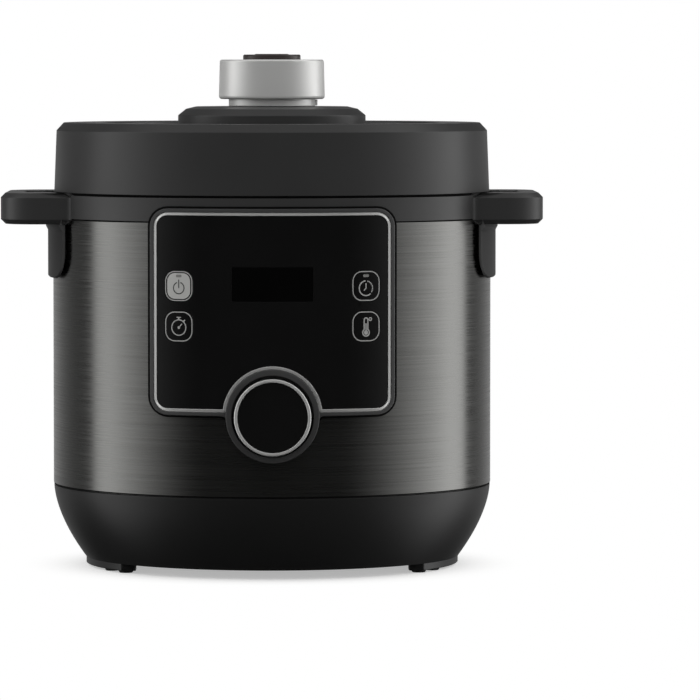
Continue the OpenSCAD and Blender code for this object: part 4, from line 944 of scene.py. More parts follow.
screw = screw_shape(11)
bottom_screws = grown("bottom_screws_dressed", bright_steel, in_quarters, Per_quarter=1,
                      Ring_radius=BOTTOM_SCREW_RING_R * MM, First_azimuth=45.0, Step=0.0,
                      Height=(BASE_Z + BOTTOM_SCREW_SINK) * MM, Shape=screw)
finish(bottom_screws, bright_steel, "housing", "bottom_screws", slot="steel")
lid_screws = grown("lid_screws_dressed", bright_steel, round_axis, Count=3, Ring_radius=LID_POST_AT * MM,
                   Start_angle=30.0, Height=LID_SCREW_Z * MM, Shape=screw)
finish(lid_screws, bright_steel, "lid", "lid_screws", slot="steel")
bpy.data.objects.remove(screw)

# %% [markdown]
# ## The steel skin
# The skin is a sheet rolled into a tube, so it is a thin turned wall with softly hemmed
# edges. Its lowest edge is stepped in, and a near-black ring in the step paints the shade
# of the line between base and skin. The opening behind the panel is cut through the wall.

# %% Steel skin
SKIN_STEP_R, SKIN_STEP = 139.4, 0.8
WINDOW_HALF_W, WINDOW_Z0, WINDOW_Z1, SHAFT_HOLE_R = 67.7, 124.5, 214.1, 21.7
CUT_FROM_D, CUT_TO_D = 70, 180
skin_section = [(SHELL_IN_R, SEAM_Z), (SKIN_STEP_R, SEAM_Z), (SKIN_STEP_R, SEAM_Z + SKIN_STEP),
                (SHELL_R, SEAM_Z + SKIN_STEP), (SHELL_R, RIM_Z), (SHELL_IN_R, RIM_Z)]
skin = solid("outer_shell_dressed", lathe(rounded(skin_section, {3: 0.15, 4: 0.3}), 256))
window_outline = box_outline(-WINDOW_HALF_W, WINDOW_HALF_W, WINDOW_Z0, WINDOW_Z1)
shaft_outline = circle(SHAFT_HOLE_R, 64, 0, DIAL_Z)
cut(skin, *[facing_front(outline, CUT_FROM_D, CUT_TO_D) for outline in (window_outline, shaft_outline)])
finish(skin, black_steel, "housing", "outer_shell", slot="black_steel", radial=True)
# A near-black ring in the skin's step paints the shade of the seam between base and skin.
base_painted_shade = lathe(box_outline(139.45, 139.75, SEAM_Z + 0.1, SEAM_Z + 0.7), 256)
part("base_seam_seal", base_painted_shade, painted_shade_black, "housing", slot="rubber")

# %% [markdown]
# ## Rim ring and handles
# The rim ring carries the lid, and both handle tops are moulded in one piece with it. From
# above a handle is a rounded block that runs into the ring in small hollow fillets. Its
# edges have flat chamfers, and a slot goes through it. The plate maker lifts that outline
# through the chamfers, while the ring itself is turned. A gutter in the ring's top, below
# the lid's edge, leaves a dark gap line under the lid, which a near-black ring on the lid
# deepens with painted shade. A near-black ring under the ring's foot paints the shade of
# the seam between rim and steel.

# %% Handle outline
def handle_outline(inset, inner_r, blend_r):
    """A right-hand handle from above, counter-clockwise, from the ring outwards and back."""
    half, reach, corner = HANDLE_HALF_W - inset, HANDLE_REACH - inset, HANDLE_CORNER - inset
    if blend_r:
        x = math.sqrt((RIM_R + blend_r) ** 2 - (half + blend_r) ** 2)
        start = math.degrees(math.atan2(-(half + blend_r), x))
        hollow = arc(blend_r, 180 + start, 90, 6, x, -(half + blend_r))
    else:
        hollow = [(math.sqrt(inner_r ** 2 - half ** 2), -half)]
        start = math.degrees(math.atan2(-half, hollow[0][0]))
    front = hollow + arc(corner, -90, 0, 12, reach - corner, -half + corner)
    back = [(x, -y) for x, y in reversed(front)]
    inner = arc(inner_r, -start, start, 32)
    return front + back + (inner if blend_r else inner[1:-1])


ROOT_INSET, ROOT_H = 5.2, 3.1
CHAMFERS = [(3.2, 0.0), (2.85, 0.12), (0.12, 2.85), (0.0, 3.2), (0.0, 16.5), (0.12, 16.85), (2.85, 19.58),
            (3.2, 19.7)]
top_levels = [(ROOT_INSET, HANDLE_Z0 + ROOT_H), (ROOT_INSET, HANDLE_Z0)]
top_levels += [(inset, HANDLE_Z0 + up) for inset, up in CHAMFERS]
slot_levels = [(0, HANDLE_Z0 + ROOT_H), (0, HANDLE_Z1 - 1.0), (0.15, HANDLE_Z1 - 0.6),
               (0.6, HANDLE_Z1 - 0.15), (1.0, HANDLE_Z1)]
slot_hole = box_outline(SLOT_X0, SLOT_X1, -SLOT_HALF_W, SLOT_HALF_W, 2.0)
print("the handle outline has", len(handle_outline(0, 137, 3)), "points")

# %% Rim ring with both handle tops and the drain spout
GUTTER_OUT_R, GUTTER_IN_R, GUTTER_DEPTH = 138.8, 136.2, 1.8
TROUGH_OUT_R, TROUGH_IN_R, TROUGH_Z, TROUGH_WALL_TOP, UNDER_Z = 132.5, 119.5, 232, 240, 229
SPOUT_Y, SPOUT_Z0, SPOUT_Z1, NOZZLE_Z = 147, 225, 233, 206.8
gutter_z = RIM_TOP - GUTTER_DEPTH
rim_section = [(RIM_R, RIM_Z + 0.7), (RIM_R, RIM_TOP), (GUTTER_OUT_R + 0.1, RIM_TOP),
               (GUTTER_OUT_R, gutter_z), (GUTTER_IN_R, gutter_z), (GUTTER_IN_R - 0.2, RIM_TOP),
               (TROUGH_OUT_R, RIM_TOP),
               (TROUGH_OUT_R, TROUGH_Z), (TROUGH_IN_R, TROUGH_Z), (TROUGH_IN_R, TROUGH_WALL_TOP),
               (116.2, TROUGH_WALL_TOP), (116.2, UNDER_Z), (136.5, UNDER_Z), (136.5, 214), (139, 214),
               (139, RIM_Z - 0.6), (137.6, RIM_Z - 0.4), (137.6, RIM_Z + 0.7)]
rim_corners = {0: 0.3, 1: 0.3, 6: 0.8, 7: 1.0, 8: 1.0, 9: 0.5, 10: 0.5}
rim = lathe(rounded(rim_section, rim_corners), 256)
recess_outline = box_outline(136, SLOT_X1 - 2, -SLOT_HALF_W + 0.5, SLOT_HALF_W - 0.5)
tops = []
for side in (1, -1):
    recess = plate(recess_outline, levels=straight(HANDLE_Z1 - 1.2, HANDLE_Z1 + 5))
    block = plate((handle_outline(0, LID_R + 0.2, 4.2), top_levels), (slot_hole, slot_levels))
    tops.append(turned(hollowed(block, recess), Matrix.Diagonal((side, 1, 1, 1))))
spout = plate(box_outline(-5, 5, 137.6, 152, 1.5), levels=soft_levels(SPOUT_Z0, SPOUT_Z1, 0.6))
nozzle_levels = [(0.3, NOZZLE_Z), (0, NOZZLE_Z + 0.3), (0, SPOUT_Z0 + 1)]
nozzle = plate(circle(5, 40, 0, SPOUT_Y), circle(3, 40, 0, SPOUT_Y), levels=nozzle_levels)
rim_mesh = outward(joined(rim, *tops, spout, nozzle))
part("rim_ring_dressed", rim_mesh, rim_black, "housing", "rim_ring", slot="satin_black")
# A near-black ring under the rim's foot paints the shade of the seam between rim and steel.
rim_painted_shade = lathe(box_outline(137.5, 138.9, RIM_Z + 0.1, RIM_Z + 0.75, 0.2), 256)
part("rim_foot_seal", rim_painted_shade, painted_shade_black, "housing", slot="rubber")

# %% [markdown]
# Under each handle a closing plate is screwed on, and a shield hangs from it over the steel
# so that fingers don't touch hot metal. The shield is a curved tongue with a chamfered edge,
# and a near-black core behind it paints shade along the shield's edge.

# %% Handle undersides and shields
SHIELD_HALF_W, SHIELD_DROP, SHIELD_CORNER = 57, 34.5, 22
SHADE_CORE_LEVELS = [(3.6, 140.25), (0.9, 142.0), (0.5, 142.6)]
SHIELD_LEVELS = [(0.2, 142.2), (0, 142.3), (0, 142.4), (0.9, 143.2), (1.2, 143.3)]
FLARE_LEVELS = [(0, 142.9), (0, 143.25), (2.6, 144.6)]
CLOSING_LEVELS = [(0.4, HANDLE_Z0), (0.0, HANDLE_Z0 + 0.4), (0.0, HANDLE_Z0 + 2.8)]
TO_THE_RIGHT = Matrix.Rotation(math.radians(90), 4, "Z")
tongue = rounded([(-SHIELD_HALF_W, HANDLE_Z0 - SHIELD_DROP), (SHIELD_HALF_W, HANDLE_Z0 - SHIELD_DROP),
                  (SHIELD_HALF_W, HANDLE_Z0 + 0.2), (-SHIELD_HALF_W, HANDLE_Z0 + 0.2)],
                 {0: SHIELD_CORNER, 1: SHIELD_CORNER})
flare_outline = box_outline(1 - SHIELD_HALF_W, SHIELD_HALF_W - 1, HANDLE_Z0 - 4.6, HANDLE_Z0 + 3.0)
for side, word in ((1, "right"), (-1, "left")):
    mirror = Matrix.Diagonal((side, 1, 1, 1))
    holes = [circle(3.2, 24, HANDLE_SCREW_X, y) for y in (-37, 37)]
    lower = plate(handle_outline(5.4, 140.4, 0), slot_hole, *holes, levels=CLOSING_LEVELS)
    flare = wrapped(plate(flare_outline, levels=FLARE_LEVELS))
    shield = joined(wrapped(plate(tongue, levels=SHIELD_LEVELS)), flare)
    shell = outward(turned(joined(lower, turned(shield, TO_THE_RIGHT)), mirror))
    part(f"handle_lower_{word}_dressed", shell, shield_black, "housing", f"handle_lower_{word}",
         slot="satin_black", radial=True)
    # A near-black core fills the space under the shield and paints shade along its front edge.
    shade_core = outward(turned(turned(wrapped(plate(tongue, levels=SHADE_CORE_LEVELS)), TO_THE_RIGHT), mirror))
    part(f"shield_liner_{word}", shade_core, painted_edge_shade, "housing", slot="rubber", radial=True)

# %% [markdown]
# ## The control panel
# From outside in, the panel is a near-black line of painted shadow, a grey frame that also
# forms the collar round the dial, a bright trim line, and the gloss fascia with its keys and display window.
# All share one family of outlines: a rounded rectangle, less a disc round the dial.

# %% Panel outlines
def panel_outline(inset, r=None, hollow=0.0):
    """The panel's outline at that inset.

    With r, a disc of that radius round the dial is left out, with soft inner corners.
    """
    half, z0, z1, corner = PANEL_HALF_W - inset, PANEL_Z0 + inset, PANEL_Z1 - inset, PANEL_CORNER - inset
    if r is None:
        return box_outline(-half, half, z0, z1, corner)
    a = math.degrees(math.asin((z0 - DIAL_Z) / r))
    over = arc(r, 180 - a, a, 48, 0, DIAL_Z)
    points = [(-half, z0)] + over + [(half, z0), (half, z1), (-half, z1)]
    last = len(points)
    inner_corners = {1: hollow, last - 4: hollow}
    return rounded(points, {0: corner, last - 3: corner, last - 2: corner, last - 1: corner, **inner_corners})


def frame_outline(hollow=3.6):
    """The frame's outer outline, where the collar bulges out below in hollow fillets."""
    half, z0 = PANEL_HALF_W, PANEL_Z0
    x = math.sqrt((COLLAR_R + hollow) ** 2 - (z0 - hollow - DIAL_Z) ** 2)
    a = math.degrees(math.atan2(z0 - hollow - DIAL_Z, x))
    left = arc(hollow, 90, -a, 6, -x, z0 - hollow)
    under = arc(COLLAR_R, 180 - a, 360 + a, 40, 0, DIAL_Z)
    right = [(-px, pz) for px, pz in reversed(left)]
    corners = rounded([(-half, z0), (half, z0), (half, PANEL_Z1), (-half, PANEL_Z1)], PANEL_CORNER)
    per = len(corners) // 4
    return corners[:per] + left + under[1:-1] + right + corners[per:]


def display_outline(grow):
    """The display window's outline, grown on all sides."""
    half = DISPLAY_HALF_W + grow
    return box_outline(-half, half, DISPLAY_Z0 - grow, DISPLAY_Z1 + grow)


def key_outline(x, z, grow=0.0):
    """A key's outline round that centre, grown on all sides."""
    half_w, half_h = KEY_W / 2 + grow, KEY_H / 2 + grow
    return box_outline(x - half_w, x + half_w, z - half_h, z + half_h, KEY_CORNER + grow)


def bead(low, high, edge):
    """Levels of a strip whose outer face is rounded on both sides."""
    return soft_levels(low, high, edge, both=False)


KEY_CENTRES = [(x, z) for x in (-KEY_X, KEY_X) for z in (KEY_LOWER_Z, KEY_UPPER_Z)]
print("fascia outline:", len(panel_outline(BORDER + TRIM_W, ARC_R)), "points")

# %% Panel frame, collar and board bosses
COLLAR_IN_R, BACKING_R, SHADE_LINE_R = 25.1, 140.2, 141.3
BOARD_D, BOSS_END_D, BOSS_HOLE_D = 119, 134.8, 128
frame_ring = plate(offset(frame_outline(), -0.9), panel_outline(BORDER, COLLAR_R),
                   circle(COLLAR_IN_R, 96, 0, DIAL_Z), levels=bead(FASCIA_IN_R - 0.4, FRAME_R, 0.6))
backing_half_w = PANEL_HALF_W - 0.3
backing = plate(box_outline(-backing_half_w, backing_half_w, PANEL_Z0 + 0.3, PANEL_Z1 - 0.3, PANEL_CORNER),
                *[key_outline(x, z, 1) for x, z in KEY_CENTRES], display_outline(1),
                levels=straight(BACKING_R, FASCIA_IN_R - 0.05))
collar_section = rounded(box_outline(COLLAR_IN_R, COLLAR_R, 137, COLLAR_FRONT), {2: 0.7, 3: 0.7})
collar = turned(lathe(collar_section, 144), Matrix.Translation((0, 0, DIAL_Z)) @ FRONT)
bosses = []
for x in (-38, 38):
    for z in (144.4, 191.4):
        boss = screw_post(1.5, 3.5, BOARD_D, BOSS_HOLE_D, BOSS_END_D)
        bosses.append(turned(boss, Matrix.Translation((x, 0, z)) @ FRONT))
frame_mesh = outward(joined(wrapped(frame_ring), wrapped(backing), collar, *bosses))
part("panel_frame_dressed", frame_mesh, frame_grey, "housing", "panel_frame", slot="frame_grey", radial=True)
# A near-black line round the frame's outer edge paints the shadow of the gap between frame and steel.
panel_painted_shade = wrapped(plate(offset(frame_outline(), 0.4), offset(frame_outline(), -1.0),
                           levels=[(0, 139.3), (0, SHADE_LINE_R - 0.1), (0.1, SHADE_LINE_R)]))
part("panel_seal_line", panel_painted_shade, painted_shade_black, "housing", slot="rubber", radial=True)

# %% [markdown]
# The trim's outer side slopes over most of its width, so that it catches the lamp on its own
# side of the room. Its inner side is upright and meets the fascia in a crisp line.

# %% Trim line
outer_levels = [(0, FASCIA_IN_R), (0, TRIM_R - 0.45), (1.4, TRIM_R)]
inner_levels = [(0, FASCIA_IN_R), (0, TRIM_R - 0.1), (0.15, TRIM_R)]
trim = wrapped(plate((panel_outline(BORDER + 0.1, COLLAR_R + 0.1, 1.0), outer_levels),
                     (panel_outline(BORDER + TRIM_W - 0.1, ARC_R - 0.1, 0.4), inner_levels)))
part("panel_trim_dressed", trim, trim_chrome, "housing", "panel_trim", slot="trim_chrome", radial=True)

# %% Fascia and display window
key_gaps = [key_outline(x, z, 0.3) for x, z in KEY_CENTRES]
fascia = wrapped(plate(panel_outline(BORDER + TRIM_W, ARC_R), *key_gaps, display_outline(0.1),
                       levels=bead(FASCIA_IN_R, FASCIA_R, 0.25)))
part("panel_fascia_dressed", fascia, gloss_black, "housing", "panel_fascia", slot="gloss_black", radial=True)
glass = wrapped(plate(display_outline(0), levels=bead(FASCIA_IN_R, FASCIA_R, 0.12)))
part("display_window_dressed", glass, display_black, "housing", "display_window", slot="display_black",
     radial=True)

# %% [markdown]
# ## Keys and their symbols
# Each key is a small gloss cap in the fascia. Its ring and symbol are printed, and raised
# here by a few hundredths of a millimetre so that they lie on the cap. The power key has a
# silver cap face, a pill-shaped lamp window and a power symbol. Every symbol is a common
# sign of its kind. A symbol is drawn flat as the key unrolls, then placed and bent with it.

# %% Strokes and bands
FRONT_VIEW = 0.915
PRINT_LOW, PRINT_TOP = 142.95, 143.14


def ribbon(outer, inner, closed=True):
    """A line between two outlines with equally many points. An open ribbon has two ends."""
    return ("ribbon", outer, inner, closed)


def band(r, width, a0, a1, x=0.0, z=0.0):
    """A curved stroke inside radius r, from a0 to a1 degrees."""
    return ribbon(arc(r, a0, a1, 32, x, z), arc(r - width, a0, a1, 32, x, z), closed=a1 - a0 >= 360)


def stroke(p, q, width):
    """A straight stroke between two points."""
    p, q = Vector(p), Vector(q)
    side = Vector((-(q - p).y, (q - p).x)).normalized() * (width / 2)
    return [tuple(v) for v in (p - side, q - side, q + side, p + side)]


def pill(w, h, z):
    """A lamp window: a bar with round ends."""
    return box_outline(-w / 2, w / 2, z - h / 2, z + h / 2, h / 2 - 0.02)


def key_ring(w=18.4, h=18.4, r=6.3, line=0.6):
    """The line round a key."""
    inner = box_outline(-w / 2 + line, w / 2 - line, -h / 2 + line, h / 2 - line, r - line)
    return ribbon(box_outline(-w / 2, w / 2, -h / 2, h / 2, r), inner)


def on_key(cx, cz, outline):
    """A key's own drawing, in the front view of the round body."""
    return [(cx + FRONT_VIEW * u, cz + v) for u, v in outline]


print("a key unrolls", round(1 / FRONT_VIEW, 3), "times wider than its front view")

# %% Raised print
def raised_ribbon(bm, outer, inner, closed, low, high):
    """Adds a ribbon's mesh: a section of four corners that follows the line."""
    rows = []
    for o, i in zip(outer, inner):
        rows.append([bm.verts.new((*p, d)) for p, d in ((o, low), (i, low), (i, high), (o, high))])
    if closed and (Vector(outer[0]) - Vector(outer[-1])).length < 0.001:
        rows.pop()
    for a, b in zip(rows, rows[1:] + (rows[:1] if closed else [])):
        for k in range(4):
            bm.faces.new((a[k - 1], a[k], b[k], b[k - 1]))
    if not closed:
        bm.faces.new(rows[0])
        bm.faces.new(rows[-1])


def raised_shape(bm, outline, low, high):
    """Adds a filled outline's mesh."""
    ends = [[bm.verts.new((*p, d)) for p in outline] for d in (low, high)]
    for k in range(len(outline)):
        bm.faces.new((ends[0][k - 1], ends[0][k], ends[1][k], ends[1][k - 1]))
    bm.faces.new(ends[0])
    bm.faces.new(ends[1])


def printed_on(cx, cz, drawings, low, high):
    """Raised print on a key. Each drawing is a ribbon, or an outline without hollows."""
    marks = []
    for drawing in drawings:
        bm = bmesh.new()
        if drawing[0] == "ribbon":
            raised_ribbon(bm, on_key(cx, cz, drawing[1]), on_key(cx, cz, drawing[2]), drawing[3], low, high)
        else:
            raised_shape(bm, on_key(cx, cz, drawing), low, high)
        marks.append(wrapped(outward(bm), strip=1.5))
    return joined(*marks)


KEYS = {"key_power": (-KEY_X, KEY_UPPER_Z), "key_timer": (-KEY_X, KEY_LOWER_Z),
        "key_delay": (KEY_X, KEY_UPPER_Z), "key_temperature": (KEY_X, KEY_LOWER_Z)}


def print_part(name, key, drawings, ink, low=PRINT_LOW, high=PRINT_TOP, slot="key_silver"):
    """A printed part that rides on its key."""
    part(name, printed_on(*KEYS[key], drawings, low, high), ink, key, slot=slot, radial=True)


print(len(KEYS), "keys carry print")

# %% Key caps
STEM_HALF_W, STEM_END_D, STEM_ROOT_D = 3, 123.7, 128.4
for name, (cx, cz) in KEYS.items():
    cap = wrapped(plate(key_outline(cx, cz), levels=bead(FASCIA_IN_R, FASCIA_R, 0.25)))
    stem_outline = box_outline(cx - STEM_HALF_W, cx + STEM_HALF_W, cz - STEM_HALF_W, cz + STEM_HALF_W, 0.6)
    stem = plate(stem_outline, levels=[(0.3, STEM_END_D), (0, STEM_END_D + 0.3), (0, STEM_ROOT_D)])
    cap_and_stem = joined(cap, turned(stem, FRONT))
    part(f"{name}_cap", cap_and_stem, gloss_key, name, name, slot="gloss_black", radial=True)
    print_part(f"{name}_ring", name, [key_ring()], ink_grey)

# %% Power key: silver face, lamp window and power symbol
FACE_TOP = 143.2
face_outline = on_key(*KEYS["key_power"], box_outline(-7.8, 7.8, -8.0, 8.0, 5.0))
face_levels = [(0.0, 142.9), (0.0, 143.05), (0.12, FACE_TOP - 0.03), (0.35, FACE_TOP)]
face = wrapped(plate(face_outline, levels=face_levels), strip=1.5)
part("power_key_face", face, key_silver, "key_power", slot="key_silver", radial=True)
power = [band(3.9, 0.65, 109, 431, 0, -1.2), stroke((0, 4.0), (0, -1.3), 0.65)]
print_low = FACE_TOP - 0.1
print_part("power_key_symbol", "key_power", power, ink_dark, print_low, FACE_TOP + 0.07, slot="frame_grey")
print_part("power_key_lamp", "key_power", [pill(3.9, 1.7, 6.2)], ink_dim, print_low, FACE_TOP + 0.04)

# %% Timer key: a stopwatch
crown = [(-0.45, 4.4), (0.45, 4.4), (0.45, 5.3), (1.4, 5.3), (1.4, 5.95), (-1.4, 5.95), (-1.4, 5.3),
         (-0.45, 5.3)]
side_button, hand = stroke((3.0, 3.0), (4.1, 4.1), 0.9), stroke((0, -0.65), (2.1, 1.7), 0.65)
stopwatch = [band(5.1, 0.65, 0, 360, 0, -0.65), crown, side_button, circle(0.85, 20, 0, -0.65), hand]
print_part("timer_key_symbol", "key_timer", stopwatch, ink_grey)

# %% Temperature key: a thermometer with a degree sign
tube = arc(2.6, 129.4, 410.6, 32, 0, -3.8) + arc(1.65, 0, 180, 12, 0, 3.95)
bore = arc(1.85, 117.4, 422.6, 32, 0, -3.8) + arc(0.9, 0, 180, 12, 0, 3.95)
bulb, column = circle(1.4, 20, 0, -3.8), stroke((0, -3.8), (0, 1.9), 0.8)
degree = band(1.2, 0.6, 0, 360, 2.9, 4.5)
print_part("temperature_key_symbol", "key_temperature", [ribbon(tube, bore), bulb, column, degree], ink_grey)

# %% [markdown]
# The delay key shows a clock whose last hours are dots. The dots repeat along an arc, so a
# tree places them: each dot sits on the key's round face and turns with it.

# %% Delay key: a clock with dotted hours
CLOCK_Z = -1.4
delay_x, delay_z = KEYS["key_delay"]
long_hand, short_hand = stroke((0, -1.5), (0, 1.7), 0.7), stroke((0.2, -1.2), (-1.4, -2.8), 0.7)
clock = [band(4.95, 0.75, 95, 313, 0, CLOCK_Z), long_hand, short_hand]
print_part("delay_key_symbol", "key_delay", clock, ink_grey)
print_part("delay_key_lamp", "key_delay", [pill(4.1, 1.7, 6.3)], ink_dim)


def dotted_arc(tree, size):
    """Dots along an arc that is wrapped round the body."""
    work = sums(tree)
    index = add(tree, "GeometryNodeInputIndex").outputs[0]
    turn_by = work("RADIANS", work("MULTIPLY_ADD", index, size["Step"], size["First_angle"]))
    half_w, r = work("MULTIPLY", size["Arc_radius"], FRONT_VIEW), size["Face_radius"]
    x = work("MULTIPLY_ADD", half_w, work("COSINE", turn_by), size["Centre_x"])
    z = work("MULTIPLY_ADD", size["Arc_radius"], work("SINE", turn_by), size["Centre_z"])
    depth = work("SQRT", work("SUBTRACT", work("MULTIPLY", r, r), work("MULTIPLY", x, x)))
    lean = placed(tree, 0.0, 0.0, work("ARCSINE", work("DIVIDE", x, r)))
    return copies(tree, size["Count"], placed(tree, x, work("MULTIPLY", -1.0, depth), z), lean, size["Shape"])


dot = solid("dot_shape", turned(lathe(box_outline(0, 0.42, -0.15, 0), 14), FRONT))
dots = grown("delay_key_dots", ink_grey, dotted_arc, Count=9, First_angle=74.0, Step=-13.0,
             Arc_radius=4.45 * MM, Centre_x=delay_x * MM, Centre_z=(delay_z + CLOCK_Z) * MM,
             Face_radius=PRINT_TOP * MM, Shape=dot)
bpy.data.objects.remove(dot)
finish(dots, ink_grey, "key_delay", slot="key_silver")

# %% [markdown]
# ## The dial
# The dial is a gloss black cap with a satin-chromed ring round its slightly dished face. It
# stands in the collar with an even gap. All of it is turned work, laid over to face the front.

# %% Dial cap and ring
ON_DIAL = Matrix.Translation((0, 0, DIAL_Z)) @ FRONT
DIAL_BACK, DIAL_HUB_R, DIAL_WALL_R, DIAL_FACE_BACK, RING_BACK = 142.4, 9, 21.7, 154.5, 155.6
cap_r, ring_in_r = DIAL_FACE_R + 0.75, DIAL_FACE_R + 0.8
cap_section = [(0, DIAL_BACK), (DIAL_HUB_R, DIAL_BACK), (DIAL_HUB_R, DIAL_FACE_BACK),
               (DIAL_WALL_R, DIAL_FACE_BACK), (DIAL_WALL_R, DIAL_BACK), (DIAL_R, DIAL_BACK),
               (DIAL_R, RING_BACK), (cap_r, RING_BACK), (cap_r, 157.7), (17, 157.3), (0, 157.1)]
dial_cap = turned(lathe(rounded(cap_section, {1: 0.3, 4: 0.3, 5: 0.4, 8: 0.35, 9: 6}), 160), ON_DIAL)
part("dial_cap_dressed", dial_cap, gloss_black, "dial", "dial_cap", slot="gloss_black")
ring_section = rounded(box_outline(ring_in_r, DIAL_R, RING_BACK, DIAL_FRONT), {2: 0.8, 3: 0.5})
dial_ring = turned(lathe(ring_section, 160), ON_DIAL)
part("dial_ring_dressed", dial_ring, trim_chrome, "dial", "dial_ring", slot="trim_chrome")

# %% [markdown]
# ## The lid
# The lid is a moulded shell with a steep side, a chamfered shoulder and a shallow tray on
# top, in which a raised plinth carries the knob. It is turned from its section, with a
# small arc on each corner. Posts inside it hold the pressure plate. Its lower edge is
# stepped back, and a near-black ring in the step paints the shade of the gap under it as a dark line.

# %% Lid shell
LID_WALL, LID_SKIN, LID_STEP, LID_LIP = 2.5, 2.5, 1.8, 0.7
POST_Z0, POST_HOLE_Z, POST_Z1 = 252.5, 264.5, 278
lid_section = [(LID_R - LID_WALL, LID_Z0 - 1.0), (LID_R - LID_STEP, LID_Z0 - 1.0),
               (LID_R - LID_STEP, LID_Z0 + LID_LIP), (LID_R, LID_Z0 + LID_LIP), (LID_SIDE_TOP_R, LID_Z1),
               (LID_RIM_OUT, LID_TOP), (LID_RIM_IN, LID_TOP), (LID_RIM_IN - 1, LID_FLOOR),
               (PLINTH_HOLE_R, LID_FLOOR), (PLINTH_HOLE_R, LID_UNDER), (LID_RIM_IN + 1.5, LID_UNDER),
               (LID_RIM_IN + 2.5, LID_TOP - LID_SKIN), (LID_RIM_OUT - 1, LID_TOP - LID_SKIN),
               (LID_SIDE_TOP_R - LID_WALL, LID_Z1 - 1)]
lid_corners = {0: 0.3, 1: 0.3, 3: 0.3, 4: 0.7, 5: 0.6, 6: 1.2, 7: 0.8}
lid_wall = lathe(rounded(lid_section, lid_corners), 256)
posts = []
for turn_by in LID_POST_TURNS:
    place = Matrix.Rotation(math.radians(turn_by), 4, "Z") @ Matrix.Translation((LID_POST_AT, 0, 0))
    posts.append(turned(screw_post(1.5, 5, POST_Z0, POST_HOLE_Z, POST_Z1), place))
part("lid_shell_dressed", joined(lid_wall, *posts), satin_black, "lid", "lid_shell", slot="satin_black")
# A near-black ring inside the lid's stepped edge paints the shade of the gap under the lid.
lid_shade_section = [(LID_R - 2.4, LID_Z0 - 1.2), (LID_R - 1.4, LID_Z0 - 1.2), (LID_R - 1.2, LID_Z0 + 0.8),
                    (LID_R - 2.4, LID_Z0 + 0.8)]
lid_painted_shade = lathe(rounded(lid_shade_section, 0.2), 256)
part("lid_edge_seal", lid_painted_shade, painted_shade_black, "lid", slot="rubber")

# %% Plinth, with the float pin's hole
PLINTH_SHOULDER_R, PLINTH_TOP_R, PLINTH_BORE_R, PLINTH_SKIN = 54.9, 48.5, 12.3, 2.5
FLOAT_X, FLOAT_Y, FLOAT_HOLE_R = -32, 30, 2.7
plinth_under = PLINTH_TOP - PLINTH_SKIN
plinth_section = [(PLINTH_R, LID_FLOOR), (PLINTH_R, PLINTH_SIDE_Z), (PLINTH_SHOULDER_R, PLINTH_EDGE_Z),
                  (PLINTH_TOP_R, PLINTH_TOP), (PLINTH_BORE_R, PLINTH_TOP), (PLINTH_BORE_R, plinth_under),
                  (PLINTH_TOP_R - 1, plinth_under), (PLINTH_SHOULDER_R - 1, PLINTH_EDGE_Z - PLINTH_SKIN),
                  (PLINTH_R - PLINTH_SKIN, PLINTH_SIDE_Z - 1), (PLINTH_R - PLINTH_SKIN, LID_FLOOR)]
plinth_mesh = lathe(rounded(plinth_section, {0: 0.3, 1: 0.9, 2: 0.9, 3: 2.0, 4: 0.4}), 192)
plinth = solid("lid_plinth_dressed", plinth_mesh)
cut(plinth, plate(circle(FLOAT_HOLE_R, 40, FLOAT_X, FLOAT_Y), levels=straight(280, 300)))
finish(plinth, satin_black, "lid", "lid_plinth", slot="satin_black")

# %% [markdown]
# ## The knob
# A silver-lacquered knob turns the lock. Its neck below has a pointer that shows which way
# it is turned. In its middle sits the dark release button, stepped twice at its edge.

# %% Neck, pointer and knob
NECK_IN_R, NECK_R, NECK_Z, WELL_R, WELL_Z = 12.1, 27.6, 293.5, 18.7, 300.9
neck = lathe(rounded(box_outline(NECK_IN_R, NECK_R, NECK_Z, KNOB_Z), {1: 0.4}), 144)
part("knob_neck_dressed", neck, knob_silver, "lock", "knob_neck", slot="knob_aluminium")
pointer_outline = rounded(box_outline(NECK_R - 1.2, NECK_R + 1.6, -1.6, 1.6), {1: 0.7, 2: 0.7})
pointer = plate(pointer_outline, levels=soft_levels(NECK_Z + 0.3, KNOB_Z - 0.3, 0.4))
part("knob_pointer", pointer, pointer_white, "lock", slot="key_silver")
knob_section = [(NECK_IN_R, KNOB_Z), (32.3, KNOB_Z), (33.5, KNOB_Z + 0.6), (KNOB_R, KNOB_Z + 1.8),
                (33.3, KNOB_TOP - 1), (32.4, KNOB_TOP), (WELL_R, KNOB_TOP), (WELL_R, WELL_Z),
                (NECK_IN_R, WELL_Z)]
knob = lathe(rounded(knob_section, {1: 0.5, 2: 0.8, 3: 1.0, 4: 0.8, 5: 0.8, 6: 0.4}), 192)
part("knob_body_dressed", knob, knob_silver, "lock", "knob_body", slot="knob_aluminium")

# %% Release button
BUTTON_IN_R, BUTTON_WALL_R, BUTTON_FOOT_Z, BUTTON_UNDER_Z = 2.6, 16.4, 315.1, 320.1
step_z = BUTTON_TOP - 0.4
button_section = [(BUTTON_IN_R, BUTTON_UNDER_Z), (BUTTON_WALL_R, BUTTON_UNDER_Z),
                  (BUTTON_WALL_R, BUTTON_FOOT_Z), (BUTTON_R, BUTTON_FOOT_Z), (BUTTON_R, BUTTON_TOP - 1.1),
                  (BUTTON_R - 0.7, step_z), (11.0, step_z), (10.4, BUTTON_TOP), (0, BUTTON_TOP),
                  (0, BUTTON_UNDER_Z + 2), (BUTTON_IN_R, BUTTON_UNDER_Z + 2)]
button = lathe(rounded(button_section, {3: 0.3, 4: 0.4, 5: 0.4, 7: 0.2}), 144)
part("release_button_dressed", button, button_brown, "release", "release_button", slot="button_brown")

